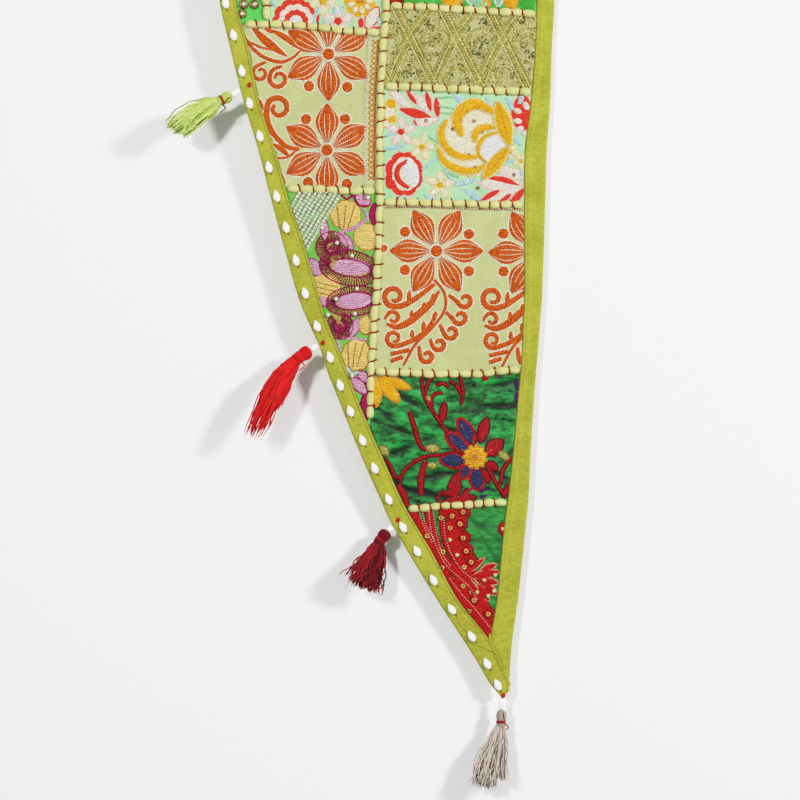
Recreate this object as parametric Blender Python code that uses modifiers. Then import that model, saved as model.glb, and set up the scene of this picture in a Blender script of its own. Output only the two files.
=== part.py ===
"""Side drop of a patchwork toran: embroidered patches, bindings, couched cords, shells and tassels.

The cloth is laid out in its own plane, and one empty turns the whole drop upright:
across is to the right, drop is how far below the top edge, and relief is how far a point
stands out towards the room. Tables are in millimetres, and everything built is in metres.
"""

from collections import namedtuple
from math import atan, cos, exp, pi, radians, sin

import bmesh
import bpy
from mathutils import Matrix, Vector

MM = 0.001
GAP = 0.3
TINY_MERGE = 0.00005

PATCH_THICKNESS = 2.4
BINDING_THICKNESS = 4.0
BINDING_RELIEF = 0.8
HEADING_HEIGHT = 24.0
CLOTH_STEP = 15.0
BINDING_STEP = 14.0

BRAID_THICKNESS = 1.0
BRAID_SPAN = (-14.5, -5.2)
BRAID_ENDS = (123.0, 270.0)

CORD_WIDTH = 8.4
CORD_HEIGHT = 4.2
CORD_LIFT = 0.5
CORD_WAIST = 0.72
CORD_CLEARANCE = CORD_WIDTH / 2 + GAP
CORD_SIDES = 5

SHELL_LENGTH = 12.6
SHELL_WIDTH = 7.4
SHELL_HEIGHT = 4.0
SHELL_TAPER = 0.45
SHELL_OUTSET = 2.4
SHELL_SEGMENTS = 8
SHELL_RINGS = 6

TUBE_RADIUS = 3.1
TUBE_ROUNDING = 0.5
TUBE_SIDES = 12
HEAD_SIDES = 10
STRAND_RADIUS = 1.05
STRAND_RINGS = 5
STRAND_ROOT = 0.42
STRAND_TIP = 0.6
STRAND_UNEVEN = 0.1

SETTLE_ROUNDS = 30
SLOPE_REACH = 5.0
EDGE_REACH = 10.0

Row = namedtuple("Row", "drop left_outer left_inner right_inner right_outer")
OUTLINE = (
    Row(0, -172, -157, 154, 172),
    Row(85, -161, -144, 156.5, 174.5),
    Row(135, -149.5, -131, 155, 172),
    Row(185, -137, -121, 151, 170.5),
    Row(235, -122, -105, 145, 167),
    Row(285, -109, -91, 144, 165.5),
    Row(335, -95.5, -74, 144, 164),
    Row(385, -81, -60, 144, 162),
    Row(410, -70.5, -51.5, 142.5, 160),
    Row(432, -60.5, -42.5, 142, 158.5),
    Row(460, -51.5, -31, 140, 156),
    Row(485, -41.5, -22, 137.5, 154),
    Row(535, -21.5, -0.5, 133, 151),
    Row(585, 0.5, 22, 127.5, 148.5),
    Row(605, 9.5, 33, 124.5, 146.5),
    Row(635, 26.5, 51, 121.5, 143.5),
    Row(685, 57, 78.5, 116.5, 138),
    Row(724, 82.5, 109, 110.5, 132.5),
    Row(745, 96, 119, 110.5, 130.5),
    Row(768, 109.5, 129, 110.5, 129.6),
    Row(782, 121, 129.6, 110.5, 129.3),
)

Point = namedtuple("Point", "across drop")
COLUMN_SEAM = (
    Point(8.5, HEADING_HEIGHT),
    Point(6, 95),
    Point(3, 135),
    Point(0.5, 175),
    Point(-0.5, 235),
    Point(-0.5, 305),
    Point(-3, 365),
    Point(-6.5, 415),
    Point(-9.5, 465),
    Point(-9.5, 790),
)
CORNER_SEAM = (Point(-114.5, HEADING_HEIGHT), Point(-113.5, 110))
HEADING_SEAM = (Point(-172, HEADING_HEIGHT), Point(172, HEADING_HEIGHT))
MINT_TOP_SEAM = (Point(-139, 109), Point(-80, 110), Point(-40, 115), Point(6, 119))
SATIN_TOP_SEAM = (Point(6, 90), Point(156, 99))
OLIVE_SEAM = (Point(1, 171), Point(150, 177))
SAGE_LEFT_SEAM = (Point(-95, 273), Point(0, 277))
MINT_RIGHT_SEAM = (Point(0, 287), Point(143, 290))
SAGE_RIGHT_SEAM = (Point(-9, 456), Point(50, 459), Point(100, 459), Point(141, 454))
SATIN_SEAM = (Point(25, 594), Point(80, 590), Point(126, 587))
PAISLEY_END = (Point(-20, 510), Point(0, 510))
APEX = (Point(100, 722.5), Point(115, 722.5))
CROSSING_GAP = 0.8
TIP_EDGE = (Point(120.5, 782), Point(129, 776))
RIGHT_TIP = (Point(120, 762), Point(130, 762))

Fold = namedtuple("Fold", "across drop turn half_width half_length rise")
FOLDS = (
    Fold(-65, 181, 2, 15, 75, -1.3),
    Fold(-72, 415, 60, 18, 30, 1.8),
    Fold(25, 500, -58, 15, 50, 1.5),
    Fold(92, 545, 32, 16, 48, 1.4),
    Fold(80, 478, 4, 14, 60, -1.2),
    Fold(95, 650, -62, 18, 60, 1.2),
    Fold(120, 772, 60, 26, 34, 2.6),
)
HANG_RISE = 2.2
HANG_WAVE = 185.0
HANG_DRIFT = 0.14
HANG_FREE = 260.0

Cord = namedtuple("Cord", "name seam upright start stop pitch")
CORD_SEAMS = (
    Cord("couched_corner_upright", "corner", True, "heading", "mint_top", 14),
    Cord("couched_column", "column", True, "heading", "left_inner", 14),
    Cord("couched_mint_top", "mint_top", False, "left_inner", "column", 12),
    Cord("couched_satin_top", "satin_top", False, "column", "right_inner", 12),
    Cord("couched_olive", "olive", False, "column", "right_inner", 12),
    Cord("couched_sage_left", "sage_left", False, "left_inner", "column", 12),
    Cord("couched_mint_right", "mint_right", False, "column", "right_inner", 12),
    Cord("couched_sage_right", "sage_right", False, "column", "right_inner", 12),
    Cord("couched_satin", "satin", False, "left_inner", "right_inner", 11),
)

Patch = namedtuple("Patch", "name left right top bottom colour roughness")
PATCHES = (
    Patch("patch_bead_corner", "left_inner", "corner", "heading", "mint_top", (0.16, 0.66, 0.17), 0.6),
    Patch("patch_mint_top", "corner", "column", "heading", "mint_top", (0.52, 0.75, 0.52), 0.75),
    Patch("patch_satin_top", "column", "right_inner", "heading", "satin_top", (0.18, 0.55, 0.12), 0.4),
    Patch("patch_sage_left", "left_inner", "column", "mint_top", "sage_left", (0.58, 0.63, 0.31), 0.85),
    Patch("patch_olive_lattice", "column", "right_inner", "satin_top", "olive", (0.42, 0.43, 0.2), 0.85),
    Patch("patch_mint_right", "column", "right_inner", "olive", "mint_right", (0.52, 0.75, 0.52), 0.75),
    Patch("patch_paisley", "left_inner", "column", "sage_left", "paisley_end", (0.19, 0.58, 0.1), 0.8),
    Patch("patch_sage_right", "column", "right_inner", "mint_right", "sage_right", (0.58, 0.63, 0.31), 0.85),
    Patch("patch_green_satin", "right_of_both", "right_inner", "sage_right", "satin", (0.2, 0.58, 0.13), 0.4),
    Patch("patch_tip", "left_inner", "right_inner", "satin", "apex", (0.03, 0.42, 0.16), 0.7),
)
BANDS = (
    Patch("heading", "left_outer", "right_outer", "top_edge", "heading", (0.44, 0.47, 0.05), 0.75),
    Patch("binding_left", "left_outer", "left_inner", "heading", "tip_edge", (0.48, 0.5, 0.05), 0.7),
    Patch("binding_right", "crossing", "right_outer", "heading", "right_tip", (0.48, 0.5, 0.05), 0.7),
)

SHELL_DROPS = (
    34, 61, 88, 120, 156, 188, 221, 252, 281, 312, 345, 378, 411, 442,
    470, 496, 525, 553, 584, 612, 636, 665, 694, 721, 748, 769,
)

Tassel = namedtuple("Tassel", "name bead_start head_top head_radius head_length axis columns rows colour")
Section = namedtuple("Section", "across drop out width depth")
TASSELS = (
    Tassel(
        "green", Point(-140.2, 175.4), Point(-148.4, 180), 5.6, 17,
        (
            Section(-160, 186, 2, 8.2, 5.4),
            Section(-172, 193, 5, 19, 9),
            Section(-190, 205, 10, 23, 11),
            Section(-207, 221, 15, 22, 10),
        ),
        6, 4, (0.42, 0.57, 0.08),
    ),
    Tassel(
        "red", Point(-62.8, 430.4), Point(-69.4, 434.8), 6.8, 19.5,
        (
            Section(-82, 443, 2, 9.6, 6),
            Section(-90, 453, 5, 16, 9),
            Section(-104, 474, 10, 18, 10),
            Section(-120, 508, 14, 19, 9),
        ),
        6, 4, (0.72, 0.02, 0.03),
    ),
    Tassel(
        "maroon", Point(12.2, 612), Point(7.8, 616), 6.4, 18,
        (
            Section(-0.6, 626.4, 2, 9, 5.4),
            Section(-4, 638, 5, 22, 11),
            Section(-11, 655, 9, 27, 13),
            Section(-19, 675, 12, 30, 12),
        ),
        7, 4, (0.2, 0.01, 0.02),
    ),
    Tassel(
        "beige", Point(121.6, 783), Point(121.4, 794), 5.0, 19,
        (
            Section(120.5, 809, 2, 7.4, 5),
            Section(117, 824, 5, 20, 9),
            Section(112, 848, 9, 30, 11),
            Section(107, 874, 12, 36, 11),
        ),
        7, 4, (0.5, 0.42, 0.36),
    ),
)

HeadRow = namedtuple("HeadRow", "radius along")
HEAD_PROFILE = (
    HeadRow(0.0, 0.0),
    HeadRow(0.62, 0.03),
    HeadRow(0.94, 0.16),
    HeadRow(1.0, 0.36),
    HeadRow(0.84, 0.58),
    HeadRow(0.74, 0.68),
    HeadRow(0.96, 0.84),
    HeadRow(1.0, 0.94),
    HeadRow(0.0, 1.0),
)


def clear_scene():
    """Take everything out of the scene that the part starts in."""
    for old in list(bpy.data.objects):
        bpy.data.objects.remove(old, do_unlink=True)


def between(low, high, share):
    """Value a share of the way from low to high."""
    return low + (high - low) * share


def read_line(points, key, value, place):
    """Read a line through table rows at one place, on straight runs between them."""
    for first, second in zip(points, points[1:]):
        if place <= getattr(second, key) or second is points[-1]:
            span = getattr(second, key) - getattr(first, key)
            share = (place - getattr(first, key)) / span
            return between(getattr(first, value), getattr(second, value), share)
    return getattr(points[-1], value)


def read_curve(points, key, value, place):
    """Read a table column at one place, on a soft curve through its rows."""
    last = len(points) - 1
    index = 0
    while index < last - 1 and place > getattr(points[index + 1], key):
        index += 1
    rows = [points[max(0, min(last, index + shift))] for shift in (-1, 0, 1, 2)]
    keys = [getattr(row, key) for row in rows]
    before, low, high, after = (getattr(row, value) for row in rows)
    span = keys[2] - keys[1]
    t = max(0.0, min(1.0, (place - keys[1]) / span))
    slope_in = (high - before) / (keys[2] - keys[0]) * span
    slope_out = (after - low) / (keys[3] - keys[1]) * span
    bend = t * t * (3 - 2 * t)
    return between(low, high, bend) + t * (1 - t) * ((1 - t) * slope_in - t * slope_out)


def upright_lines():
    """Name each line that runs down the drop, as across for a given drop."""
    def outline(column):
        return lambda drop: read_curve(OUTLINE, "drop", column, drop)

    def seam(points):
        return lambda drop: read_line(points, "drop", "across", drop)

    left_inner = outline("left_inner")
    right_inner = outline("right_inner")
    column = seam(COLUMN_SEAM)
    return {
        "left_outer": outline("left_outer"),
        "left_inner": left_inner,
        "right_inner": right_inner,
        "right_outer": outline("right_outer"),
        "column": column,
        "corner": seam(CORNER_SEAM),
        "right_of_both": lambda drop: max(column(drop), left_inner(drop)),
        "crossing": lambda drop: max(right_inner(drop), left_inner(drop) + CROSSING_GAP),
    }


def level_lines():
    """Name each line that runs across the drop, as drop for a given across."""
    seams = {
        "heading": HEADING_SEAM,
        "mint_top": MINT_TOP_SEAM,
        "satin_top": SATIN_TOP_SEAM,
        "olive": OLIVE_SEAM,
        "sage_left": SAGE_LEFT_SEAM,
        "mint_right": MINT_RIGHT_SEAM,
        "sage_right": SAGE_RIGHT_SEAM,
        "satin": SATIN_SEAM,
        "paisley_end": PAISLEY_END,
        "apex": APEX,
        "tip_edge": TIP_EDGE,
        "right_tip": RIGHT_TIP,
    }
    lines = {
        name: lambda across, points=points: read_line(points, "across", "drop", across)
        for name, points in seams.items()
    }
    lines["top_edge"] = lambda across: -GAP / 2
    return lines


UPRIGHT = upright_lines()
LEVEL = level_lines()


def relief(across, drop):
    """How far the hanging cloth stands out at one place: a slow wave and a few soft folds."""
    free = min(1.0, max(0.0, drop - HEADING_HEIGHT) / HANG_FREE)
    out = HANG_RISE * free * sin(2 * pi * (across + HANG_DRIFT * drop) / HANG_WAVE)
    for fold in FOLDS:
        turn = radians(fold.turn)
        dx = across - fold.across
        dy = drop - fold.drop
        along = (dx * cos(turn) + dy * sin(turn)) / fold.half_length
        aside = (dy * cos(turn) - dx * sin(turn)) / fold.half_width
        out += fold.rise * exp(-along * along - aside * aside)
    return out


def place(across, drop, out):
    """Point in the cloth's own frame, in metres."""
    return Vector((across * MM, -drop * MM, out * MM))


def settle(lines, s, t):
    """Find the point that is s of the way across and t of the way down between four lines."""
    left, right, top, bottom = lines
    across, drop = 0.0, between(top(0.0), bottom(0.0), t)
    for _ in range(SETTLE_ROUNDS):
        across = between(left(drop) + GAP / 2, right(drop) - GAP / 2, s)
        drop = between(top(across) + GAP / 2, bottom(across) - GAP / 2, t)
    return across, drop


def new_finish(name, colour, roughness, metallic=0.0):
    """Plain principled finish."""
    finish = bpy.data.materials.new(name)
    finish.use_nodes = True
    shader = finish.node_tree.nodes["Principled BSDF"]
    shader.inputs["Base Color"].default_value = (*colour, 1.0)
    shader.inputs["Roughness"].default_value = roughness
    shader.inputs["Metallic"].default_value = metallic
    return finish


class Drop:
    """Collections, the empty that turns the drop upright, and the ways a piece is added."""

    def __init__(self):
        self.part = bpy.data.collections.new("patchwork_toran")
        self.guides = bpy.data.collections.new("guides")
        bpy.context.scene.collection.children.link(self.part)
        bpy.context.scene.collection.children.link(self.guides)
        self.hanger = bpy.data.objects.new("hanger", None)
        self.hanger.rotation_euler = (pi / 2, 0.0, 0.0)
        self.part.objects.link(self.hanger)

    def add(self, name, data, finish=None, matrix=None):
        """Add a piece of the part to the hanging frame."""
        piece = bpy.data.objects.new(name, data)
        self.part.objects.link(piece)
        piece.parent = self.hanger
        if matrix is not None:
            piece.matrix_local = matrix
        if finish is not None:
            data.materials.append(finish)
        return piece

    def add_guide(self, name, data):
        """Add a shape that only helps to make a piece."""
        guide = bpy.data.objects.new(name, data)
        self.guides.objects.link(guide)
        guide.parent = self.hanger
        guide.hide_render = True
        guide.display_type = "WIRE"
        return guide

    def made_mesh(self, piece):
        """Turn a curve guide into a welded mesh guide, and take the curve away."""
        bpy.context.view_layer.update()
        evaluated = piece.evaluated_get(bpy.context.evaluated_depsgraph_get())
        mesh = bpy.data.meshes.new_from_object(evaluated)
        body = bmesh.new()
        body.from_mesh(mesh)
        bmesh.ops.remove_doubles(body, verts=body.verts, dist=TINY_MERGE / 10)
        body.to_mesh(mesh)
        body.free()
        made = self.add_guide(piece.name + "_mesh", mesh)
        bpy.data.objects.remove(piece, do_unlink=True)
        return made


def cloth_sheet(drop_frame, name, lines, step, thickness, lift, finish):
    """Build one flat-cut piece of cloth between four lines, on the folds of the drop."""
    tall = settle(lines, 0.5, 1.0)[1] - settle(lines, 0.5, 0.0)[1]
    wide = max(settle(lines, 1.0, t)[0] - settle(lines, 0.0, t)[0] for t in (0.0, 0.5, 1.0))
    columns = max(1, round(wide / step))
    rows = max(2, round(tall / step))
    body = bmesh.new()
    bmesh.ops.create_grid(body, x_segments=columns, y_segments=rows, size=0.5)
    for corner in body.verts:
        across, drop = settle(lines, corner.co.x + 0.5, 0.5 - corner.co.y)
        corner.co = place(across, drop, relief(across, drop) + lift)
    mesh = bpy.data.meshes.new(name)
    body.to_mesh(mesh)
    body.free()
    piece = drop_frame.add(name, mesh, finish)
    solid = piece.modifiers.new("cloth", "SOLIDIFY")
    solid.thickness = thickness * MM
    solid.offset = -1.0
    solid.use_even_offset = False


def build_cloth(drop_frame):
    """Cut the patches, the heading and the two bindings."""
    for patch in PATCHES + BANDS:
        lines = (UPRIGHT[patch.left], UPRIGHT[patch.right], LEVEL[patch.top], LEVEL[patch.bottom])
        band = patch in BANDS
        step = BINDING_STEP if band else CLOTH_STEP
        thickness = BINDING_THICKNESS if band else PATCH_THICKNESS
        lift = BINDING_RELIEF if band else 0.0
        finish = new_finish(patch.name, patch.colour, patch.roughness)
        cloth_sheet(drop_frame, patch.name, lines, step, thickness, lift, finish)


def build_braid(drop_frame):
    """Lay the zigzag braid beside the column seam."""
    low, high = BRAID_SPAN
    first, last = BRAID_ENDS
    lines = (
        lambda drop: UPRIGHT["column"](drop) + low,
        lambda drop: UPRIGHT["column"](drop) + high,
        lambda across: first,
        lambda across: last,
    )
    lift = BRAID_THICKNESS + GAP
    finish = new_finish("braid", (0.62, 0.22, 0.05), 0.8)
    cloth_sheet(drop_frame, "braid_trim", lines, CLOTH_STEP, BRAID_THICKNESS, lift, finish)


def cord_section(drop_frame):
    """Half-round section of a couched cord, flat side down."""
    arc = [(-cos(pi * step / CORD_SIDES), sin(pi * step / CORD_SIDES)) for step in range(CORD_SIDES + 1)]
    data = bpy.data.curves.new("cord_section", "CURVE")
    data.dimensions = "2D"
    data.fill_mode = "NONE"
    spline = data.splines.new("POLY")
    spline.points.add(len(arc) - 1)
    for point, (x, y) in zip(spline.points, arc):
        point.co = (x * CORD_WIDTH / 2 * MM, y * CORD_HEIGHT * MM, 0.0, 1.0)
    spline.use_cyclic_u = True
    return drop_frame.add_guide("cord_section", data)


def meeting(rising, falling, start):
    """Drop at which the binding's line reaches the side of a cord that runs down to it."""
    drop = start
    while rising(drop) < falling(drop) - CORD_CLEARANCE - GAP:
        drop += GAP
    return drop


def cord_ends(cord):
    """Where a couched cord starts and stops along its seam."""
    if cord.upright:
        start = HEADING_HEIGHT + GAP
        if cord.stop in LEVEL:
            return start, LEVEL[cord.stop](UPRIGHT[cord.seam](start)) - CORD_CLEARANCE
        return start, meeting(UPRIGHT[cord.stop], UPRIGHT[cord.seam], start)
    line = LEVEL[cord.seam]
    start = UPRIGHT[cord.start](line(0.0))
    start += CORD_CLEARANCE if cord.start == "column" else 2 * GAP
    stop = UPRIGHT[cord.stop](line(UPRIGHT[cord.stop](line(100.0))))
    stop -= CORD_CLEARANCE if cord.stop == "column" else 2 * GAP
    return start, stop


def cord_point(cord, place_along):
    """Across and drop of a cord's middle line, a given way along its seam."""
    if cord.upright:
        return UPRIGHT[cord.seam](place_along), place_along
    return place_along, LEVEL[cord.seam](place_along)


def build_cord(drop_frame, cord, section, finish):
    """Lay one rolled cord over its seam, drawn in at each couching stitch."""
    start, stop = cord_ends(cord)
    puffs = max(2, round((stop - start) / cord.pitch))
    count = 2 * puffs + 1
    data = bpy.data.curves.new(cord.name, "CURVE")
    data.dimensions = "3D"
    data.twist_mode = "Z_UP"
    data.bevel_mode = "OBJECT"
    data.bevel_object = section
    data.use_fill_caps = True
    spline = data.splines.new("POLY")
    spline.points.add(count - 1)
    for index, point in enumerate(spline.points):
        across, drop = cord_point(cord, between(start, stop, index / (count - 1)))
        base = relief(across, drop) + CORD_LIFT
        point.co = (*place(across, drop, base), 1.0)
        point.radius = CORD_WAIST if index % 2 == 0 else 1.0
        point.tilt = cord_tilt(cord, across, drop)
    drop_frame.add(cord.name, data, finish)


def cord_tilt(cord, across, drop):
    """Lean of the cloth from one side of a cord to the other."""
    half = CORD_WIDTH / 2
    if cord.upright:
        return atan((relief(across - half, drop) - relief(across + half, drop)) / CORD_WIDTH)
    return atan((relief(across, drop - half) - relief(across, drop + half)) / CORD_WIDTH)


def cloth_turn(across, drop, heading_across, heading_drop):
    """Rotation that lays a piece on the cloth, its long axis along the given heading."""
    reach = SLOPE_REACH
    east = place(2 * reach, 0, relief(across + reach, drop) - relief(across - reach, drop))
    south = place(0, 2 * reach, relief(across, drop + reach) - relief(across, drop - reach))
    out = south.cross(east).normalized()
    along = place(heading_across, heading_drop, 0.0).normalized()
    side = along.cross(out).normalized()
    along = out.cross(side).normalized()
    return Matrix((side, along, out)).transposed().to_4x4()


def shell_mesh():
    """Half a teardrop: domed on its face, flat behind, narrow towards its upper end."""
    body = bmesh.new()
    bmesh.ops.create_uvsphere(body, u_segments=SHELL_SEGMENTS, v_segments=SHELL_RINGS, radius=1.0)
    turn = Matrix.Rotation(pi / 2, 3, "X")
    bmesh.ops.rotate(body, verts=body.verts, cent=(0.0, 0.0, 0.0), matrix=turn)
    cut = bmesh.ops.bisect_plane(
        body, geom=body.verts[:] + body.edges[:] + body.faces[:],
        plane_co=(0.0, 0.0, 0.0), plane_no=(0.0, 0.0, 1.0), clear_inner=True, dist=TINY_MERGE,
    )
    rim = [item for item in cut["geom_cut"] if isinstance(item, bmesh.types.BMEdge)]
    bmesh.ops.contextual_create(body, geom=rim)
    for corner in body.verts:
        narrow = 1.0 - SHELL_TAPER * max(0.0, -corner.co.y)
        corner.co.x *= SHELL_WIDTH / 2 * MM * narrow
        corner.co.y *= SHELL_LENGTH / 2 * MM
        corner.co.z *= SHELL_HEIGHT * MM * narrow
    bmesh.ops.recalc_face_normals(body, faces=body.faces)
    mesh = bpy.data.meshes.new("shell")
    body.to_mesh(mesh)
    body.free()
    mesh.shade_smooth()
    return mesh


def binding_middle(drop):
    """Middle line of the left binding, as across for a given drop."""
    return (UPRIGHT["left_outer"](drop) + UPRIGHT["left_inner"](drop)) / 2


def build_shells(drop_frame):
    """Stitch the row of shells down the left binding."""
    mesh = shell_mesh()
    mesh.materials.append(new_finish("shell", (0.86, 0.85, 0.8), 0.25))
    for number, drop in enumerate(SHELL_DROPS, start=1):
        across = binding_middle(drop) - SHELL_OUTSET
        run = binding_middle(drop + EDGE_REACH) - binding_middle(drop - EDGE_REACH)
        turn = cloth_turn(across, drop, run, 2 * EDGE_REACH)
        out = relief(across, drop) + BINDING_RELIEF + 2 * GAP
        matrix = Matrix.Translation(place(across, drop, out)) @ turn
        drop_frame.add(f"shell_{number:02d}", mesh, matrix=matrix)


def aim(start, stop):
    """Rotation that points local -Z from start to stop."""
    return (start - stop).to_track_quat("Z", "Y").to_matrix().to_4x4()


def build_tube_bead(drop_frame, tassel, finish):
    """Set the tube bead between the cloth's edge and the tassel's head."""
    level = relief(tassel.bead_start.across, tassel.bead_start.drop) + BINDING_RELIEF - BINDING_THICKNESS / 2
    start = place(*tassel.bead_start, level)
    stop = place(*tassel.head_top, level)
    body = bmesh.new()
    bmesh.ops.create_cone(
        body, cap_ends=True, segments=TUBE_SIDES, radius1=TUBE_RADIUS * MM, radius2=TUBE_RADIUS * MM,
        depth=(stop - start).length - 2 * GAP * MM,
    )
    mesh = bpy.data.meshes.new("tube_bead_" + tassel.name)
    body.to_mesh(mesh)
    body.free()
    matrix = Matrix.Translation((start + stop) / 2) @ aim(start, stop)
    bead = drop_frame.add("tube_bead_" + tassel.name, mesh, finish, matrix)
    soften = bead.modifiers.new("rounded ends", "BEVEL")
    soften.width = TUBE_ROUNDING * MM
    soften.segments = 1
    soften.limit_method = "ANGLE"
    return stop


def tassel_head(drop_frame, tassel, top, finish):
    """Turn the tassel's bound head, which flares where the strands leave it."""
    neck = section_middle(tassel.axis[0], top)
    body = bmesh.new()
    previous = None
    for row in HEAD_PROFILE:
        radius = row.radius * tassel.head_radius
        corner = body.verts.new((radius * MM, 0.0, -row.along * tassel.head_length * MM))
        if previous is not None:
            body.edges.new((previous, corner))
        previous = corner
    mesh = bpy.data.meshes.new("tassel_" + tassel.name)
    body.to_mesh(mesh)
    body.free()
    matrix = Matrix.Translation(top) @ aim(top, neck)
    head = drop_frame.add("tassel_" + tassel.name, mesh, finish, matrix)
    turned = head.modifiers.new("turned", "SCREW")
    turned.steps = HEAD_SIDES
    turned.render_steps = HEAD_SIDES
    turned.use_merge_vertices = True
    turned.merge_threshold = TINY_MERGE
    return head


def skirt_strands(drop_frame, tassel, top):
    """Lay the strands side by side in rows that open out from the head and never cross."""
    data = bpy.data.curves.new("strands_" + tassel.name, "CURVE")
    data.dimensions = "3D"
    data.bevel_depth = STRAND_RADIUS * MM
    data.bevel_resolution = 0
    data.use_fill_caps = True
    half_columns = (tassel.columns - 1) / 2
    half_rows = (tassel.rows - 1) / 2
    for row in range(tassel.rows):
        count = tassel.columns - row % 2
        for column in range(count):
            sideways = (column - (count - 1) / 2) / half_columns
            outward = (row - half_rows) / half_rows
            reach = 1.0 - STRAND_UNEVEN * abs(sin(3 * column + 2 * row))
            spline = data.splines.new("POLY")
            spline.points.add(STRAND_RINGS - 1)
            for index, point in enumerate(spline.points):
                share = index / (STRAND_RINGS - 1) * reach
                point.co = (*strand_place(tassel, top, share, sideways, outward), 1.0)
                point.radius = 1.0
            spline.points[0].radius = STRAND_ROOT
            spline.points[-1].radius = STRAND_TIP
    return drop_frame.made_mesh(drop_frame.add_guide("strands_" + tassel.name, data))


def section_middle(section, top):
    """Middle of one section of a tassel's skirt, measured out from the level of its head."""
    return place(section.across, section.drop, section.out) + Vector((0.0, 0.0, top.z))


def strand_place(tassel, top, share, sideways, outward):
    """Place of one strand in the skirt, a share of the way from the root to the hem."""
    centre = [section_middle(section, top) for section in tassel.axis]
    spot = share * (len(centre) - 1)
    index = min(int(spot), len(centre) - 2)
    part = spot - index
    middle = centre[index].lerp(centre[index + 1], part)
    low, high = tassel.axis[index], tassel.axis[index + 1]
    run = centre[index + 1] - centre[index]
    side = Vector((-run.y, run.x, 0.0)).normalized()
    if index + 2 < len(centre):
        ahead = centre[index + 2] - centre[index + 1]
        side = side.lerp(Vector((-ahead.y, ahead.x, 0.0)).normalized(), part / 2)
    if index > 0:
        behind = centre[index] - centre[index - 1]
        side = side.lerp(Vector((-behind.y, behind.x, 0.0)).normalized(), (1 - part) / 2)
    width = between(low.width, high.width, part) * MM / 2
    depth = between(low.depth, high.depth, part) * MM / 2
    return middle + side.normalized() * width * sideways + Vector((0.0, 0.0, depth * outward))


def build_tassels(drop_frame):
    """Hang each tassel from its tube bead: one fused solid of head and strands."""
    bead_finish = new_finish("tube_bead", (0.88, 0.88, 0.86), 0.2)
    for tassel in TASSELS:
        top = build_tube_bead(drop_frame, tassel, bead_finish)
        finish = new_finish("yarn_" + tassel.name, tassel.colour, 0.85)
        head = tassel_head(drop_frame, tassel, top, finish)
        strands = skirt_strands(drop_frame, tassel, top)
        fused = head.modifiers.new("fused strands", "BOOLEAN")
        fused.operation = "UNION"
        fused.solver = "EXACT"
        fused.object = strands


def main():
    """Build the whole side drop."""
    clear_scene()
    drop_frame = Drop()
    build_cloth(drop_frame)
    build_braid(drop_frame)
    section = cord_section(drop_frame)
    cord_finish = new_finish("cord", (0.52, 0.6, 0.22), 0.7)
    for cord in CORD_SEAMS:
        build_cord(drop_frame, cord, section, cord_finish)
    build_shells(drop_frame)
    build_tassels(drop_frame)


main()
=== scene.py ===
"""Looks of the side drop of a patchwork toran: pieced cloth, embroidery, couched cords, shells and tassels.

The drop is laid out flat in millimetres: across is to the right, drop is how far a point lies
below the top edge, and out is how far it stands towards the room. HangingCloth.place turns
that frame upright into the part's own one, in metres.
"""

import logging
from dataclasses import dataclass, replace
from enum import Enum
from math import cos, pi, radians, sin, tau
from typing import Callable, NamedTuple, Sequence, Union

import bpy
import numpy as np
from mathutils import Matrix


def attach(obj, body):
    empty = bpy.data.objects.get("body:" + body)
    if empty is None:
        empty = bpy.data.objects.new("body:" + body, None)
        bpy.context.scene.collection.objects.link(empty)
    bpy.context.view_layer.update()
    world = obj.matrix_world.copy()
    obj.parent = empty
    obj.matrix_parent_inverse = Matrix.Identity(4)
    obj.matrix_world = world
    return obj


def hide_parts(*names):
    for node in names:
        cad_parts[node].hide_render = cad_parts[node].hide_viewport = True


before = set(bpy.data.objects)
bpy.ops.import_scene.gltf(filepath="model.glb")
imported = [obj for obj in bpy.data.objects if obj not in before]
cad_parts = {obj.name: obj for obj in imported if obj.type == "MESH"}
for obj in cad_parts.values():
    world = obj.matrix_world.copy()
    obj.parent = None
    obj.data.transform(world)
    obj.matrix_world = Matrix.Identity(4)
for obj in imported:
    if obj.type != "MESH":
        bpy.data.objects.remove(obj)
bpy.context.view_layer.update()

LOG = logging.getLogger("toran")
MM = 0.001
GAP = 0.3

Array = np.ndarray
Number = Union[float, Array]
Line = Callable[[Number], Number]
Colour = tuple[float, float, float]
Spot = tuple[float, float]
Shapes = tuple[object, ...]


NOWHERE = (0.0, 0.0)
CLOTH_SHARE = 0.74
PIT_SHADE_SHARE = 0.5


def tint(red: int, green: int, blue: int, share: float = CLOTH_SHARE) -> Colour:
    """Turn a colour as it looks on a screen, 0 to 255, into the light it sends back.

    Args:
        red: Red of the colour.
        green: Green of the colour.
        blue: Blue of the colour.
        share: How much of it is the colour itself; the rest is the strong light it is seen in.

    Returns:
        The linear colour.
    """
    shares = [value / 255 for value in (red, green, blue)]
    linear = [s / 12.92 if s <= 0.04045 else ((s + 0.055) / 1.055) ** 2.4 for s in shares]
    return linear[0] * share, linear[1] * share, linear[2] * share


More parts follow.
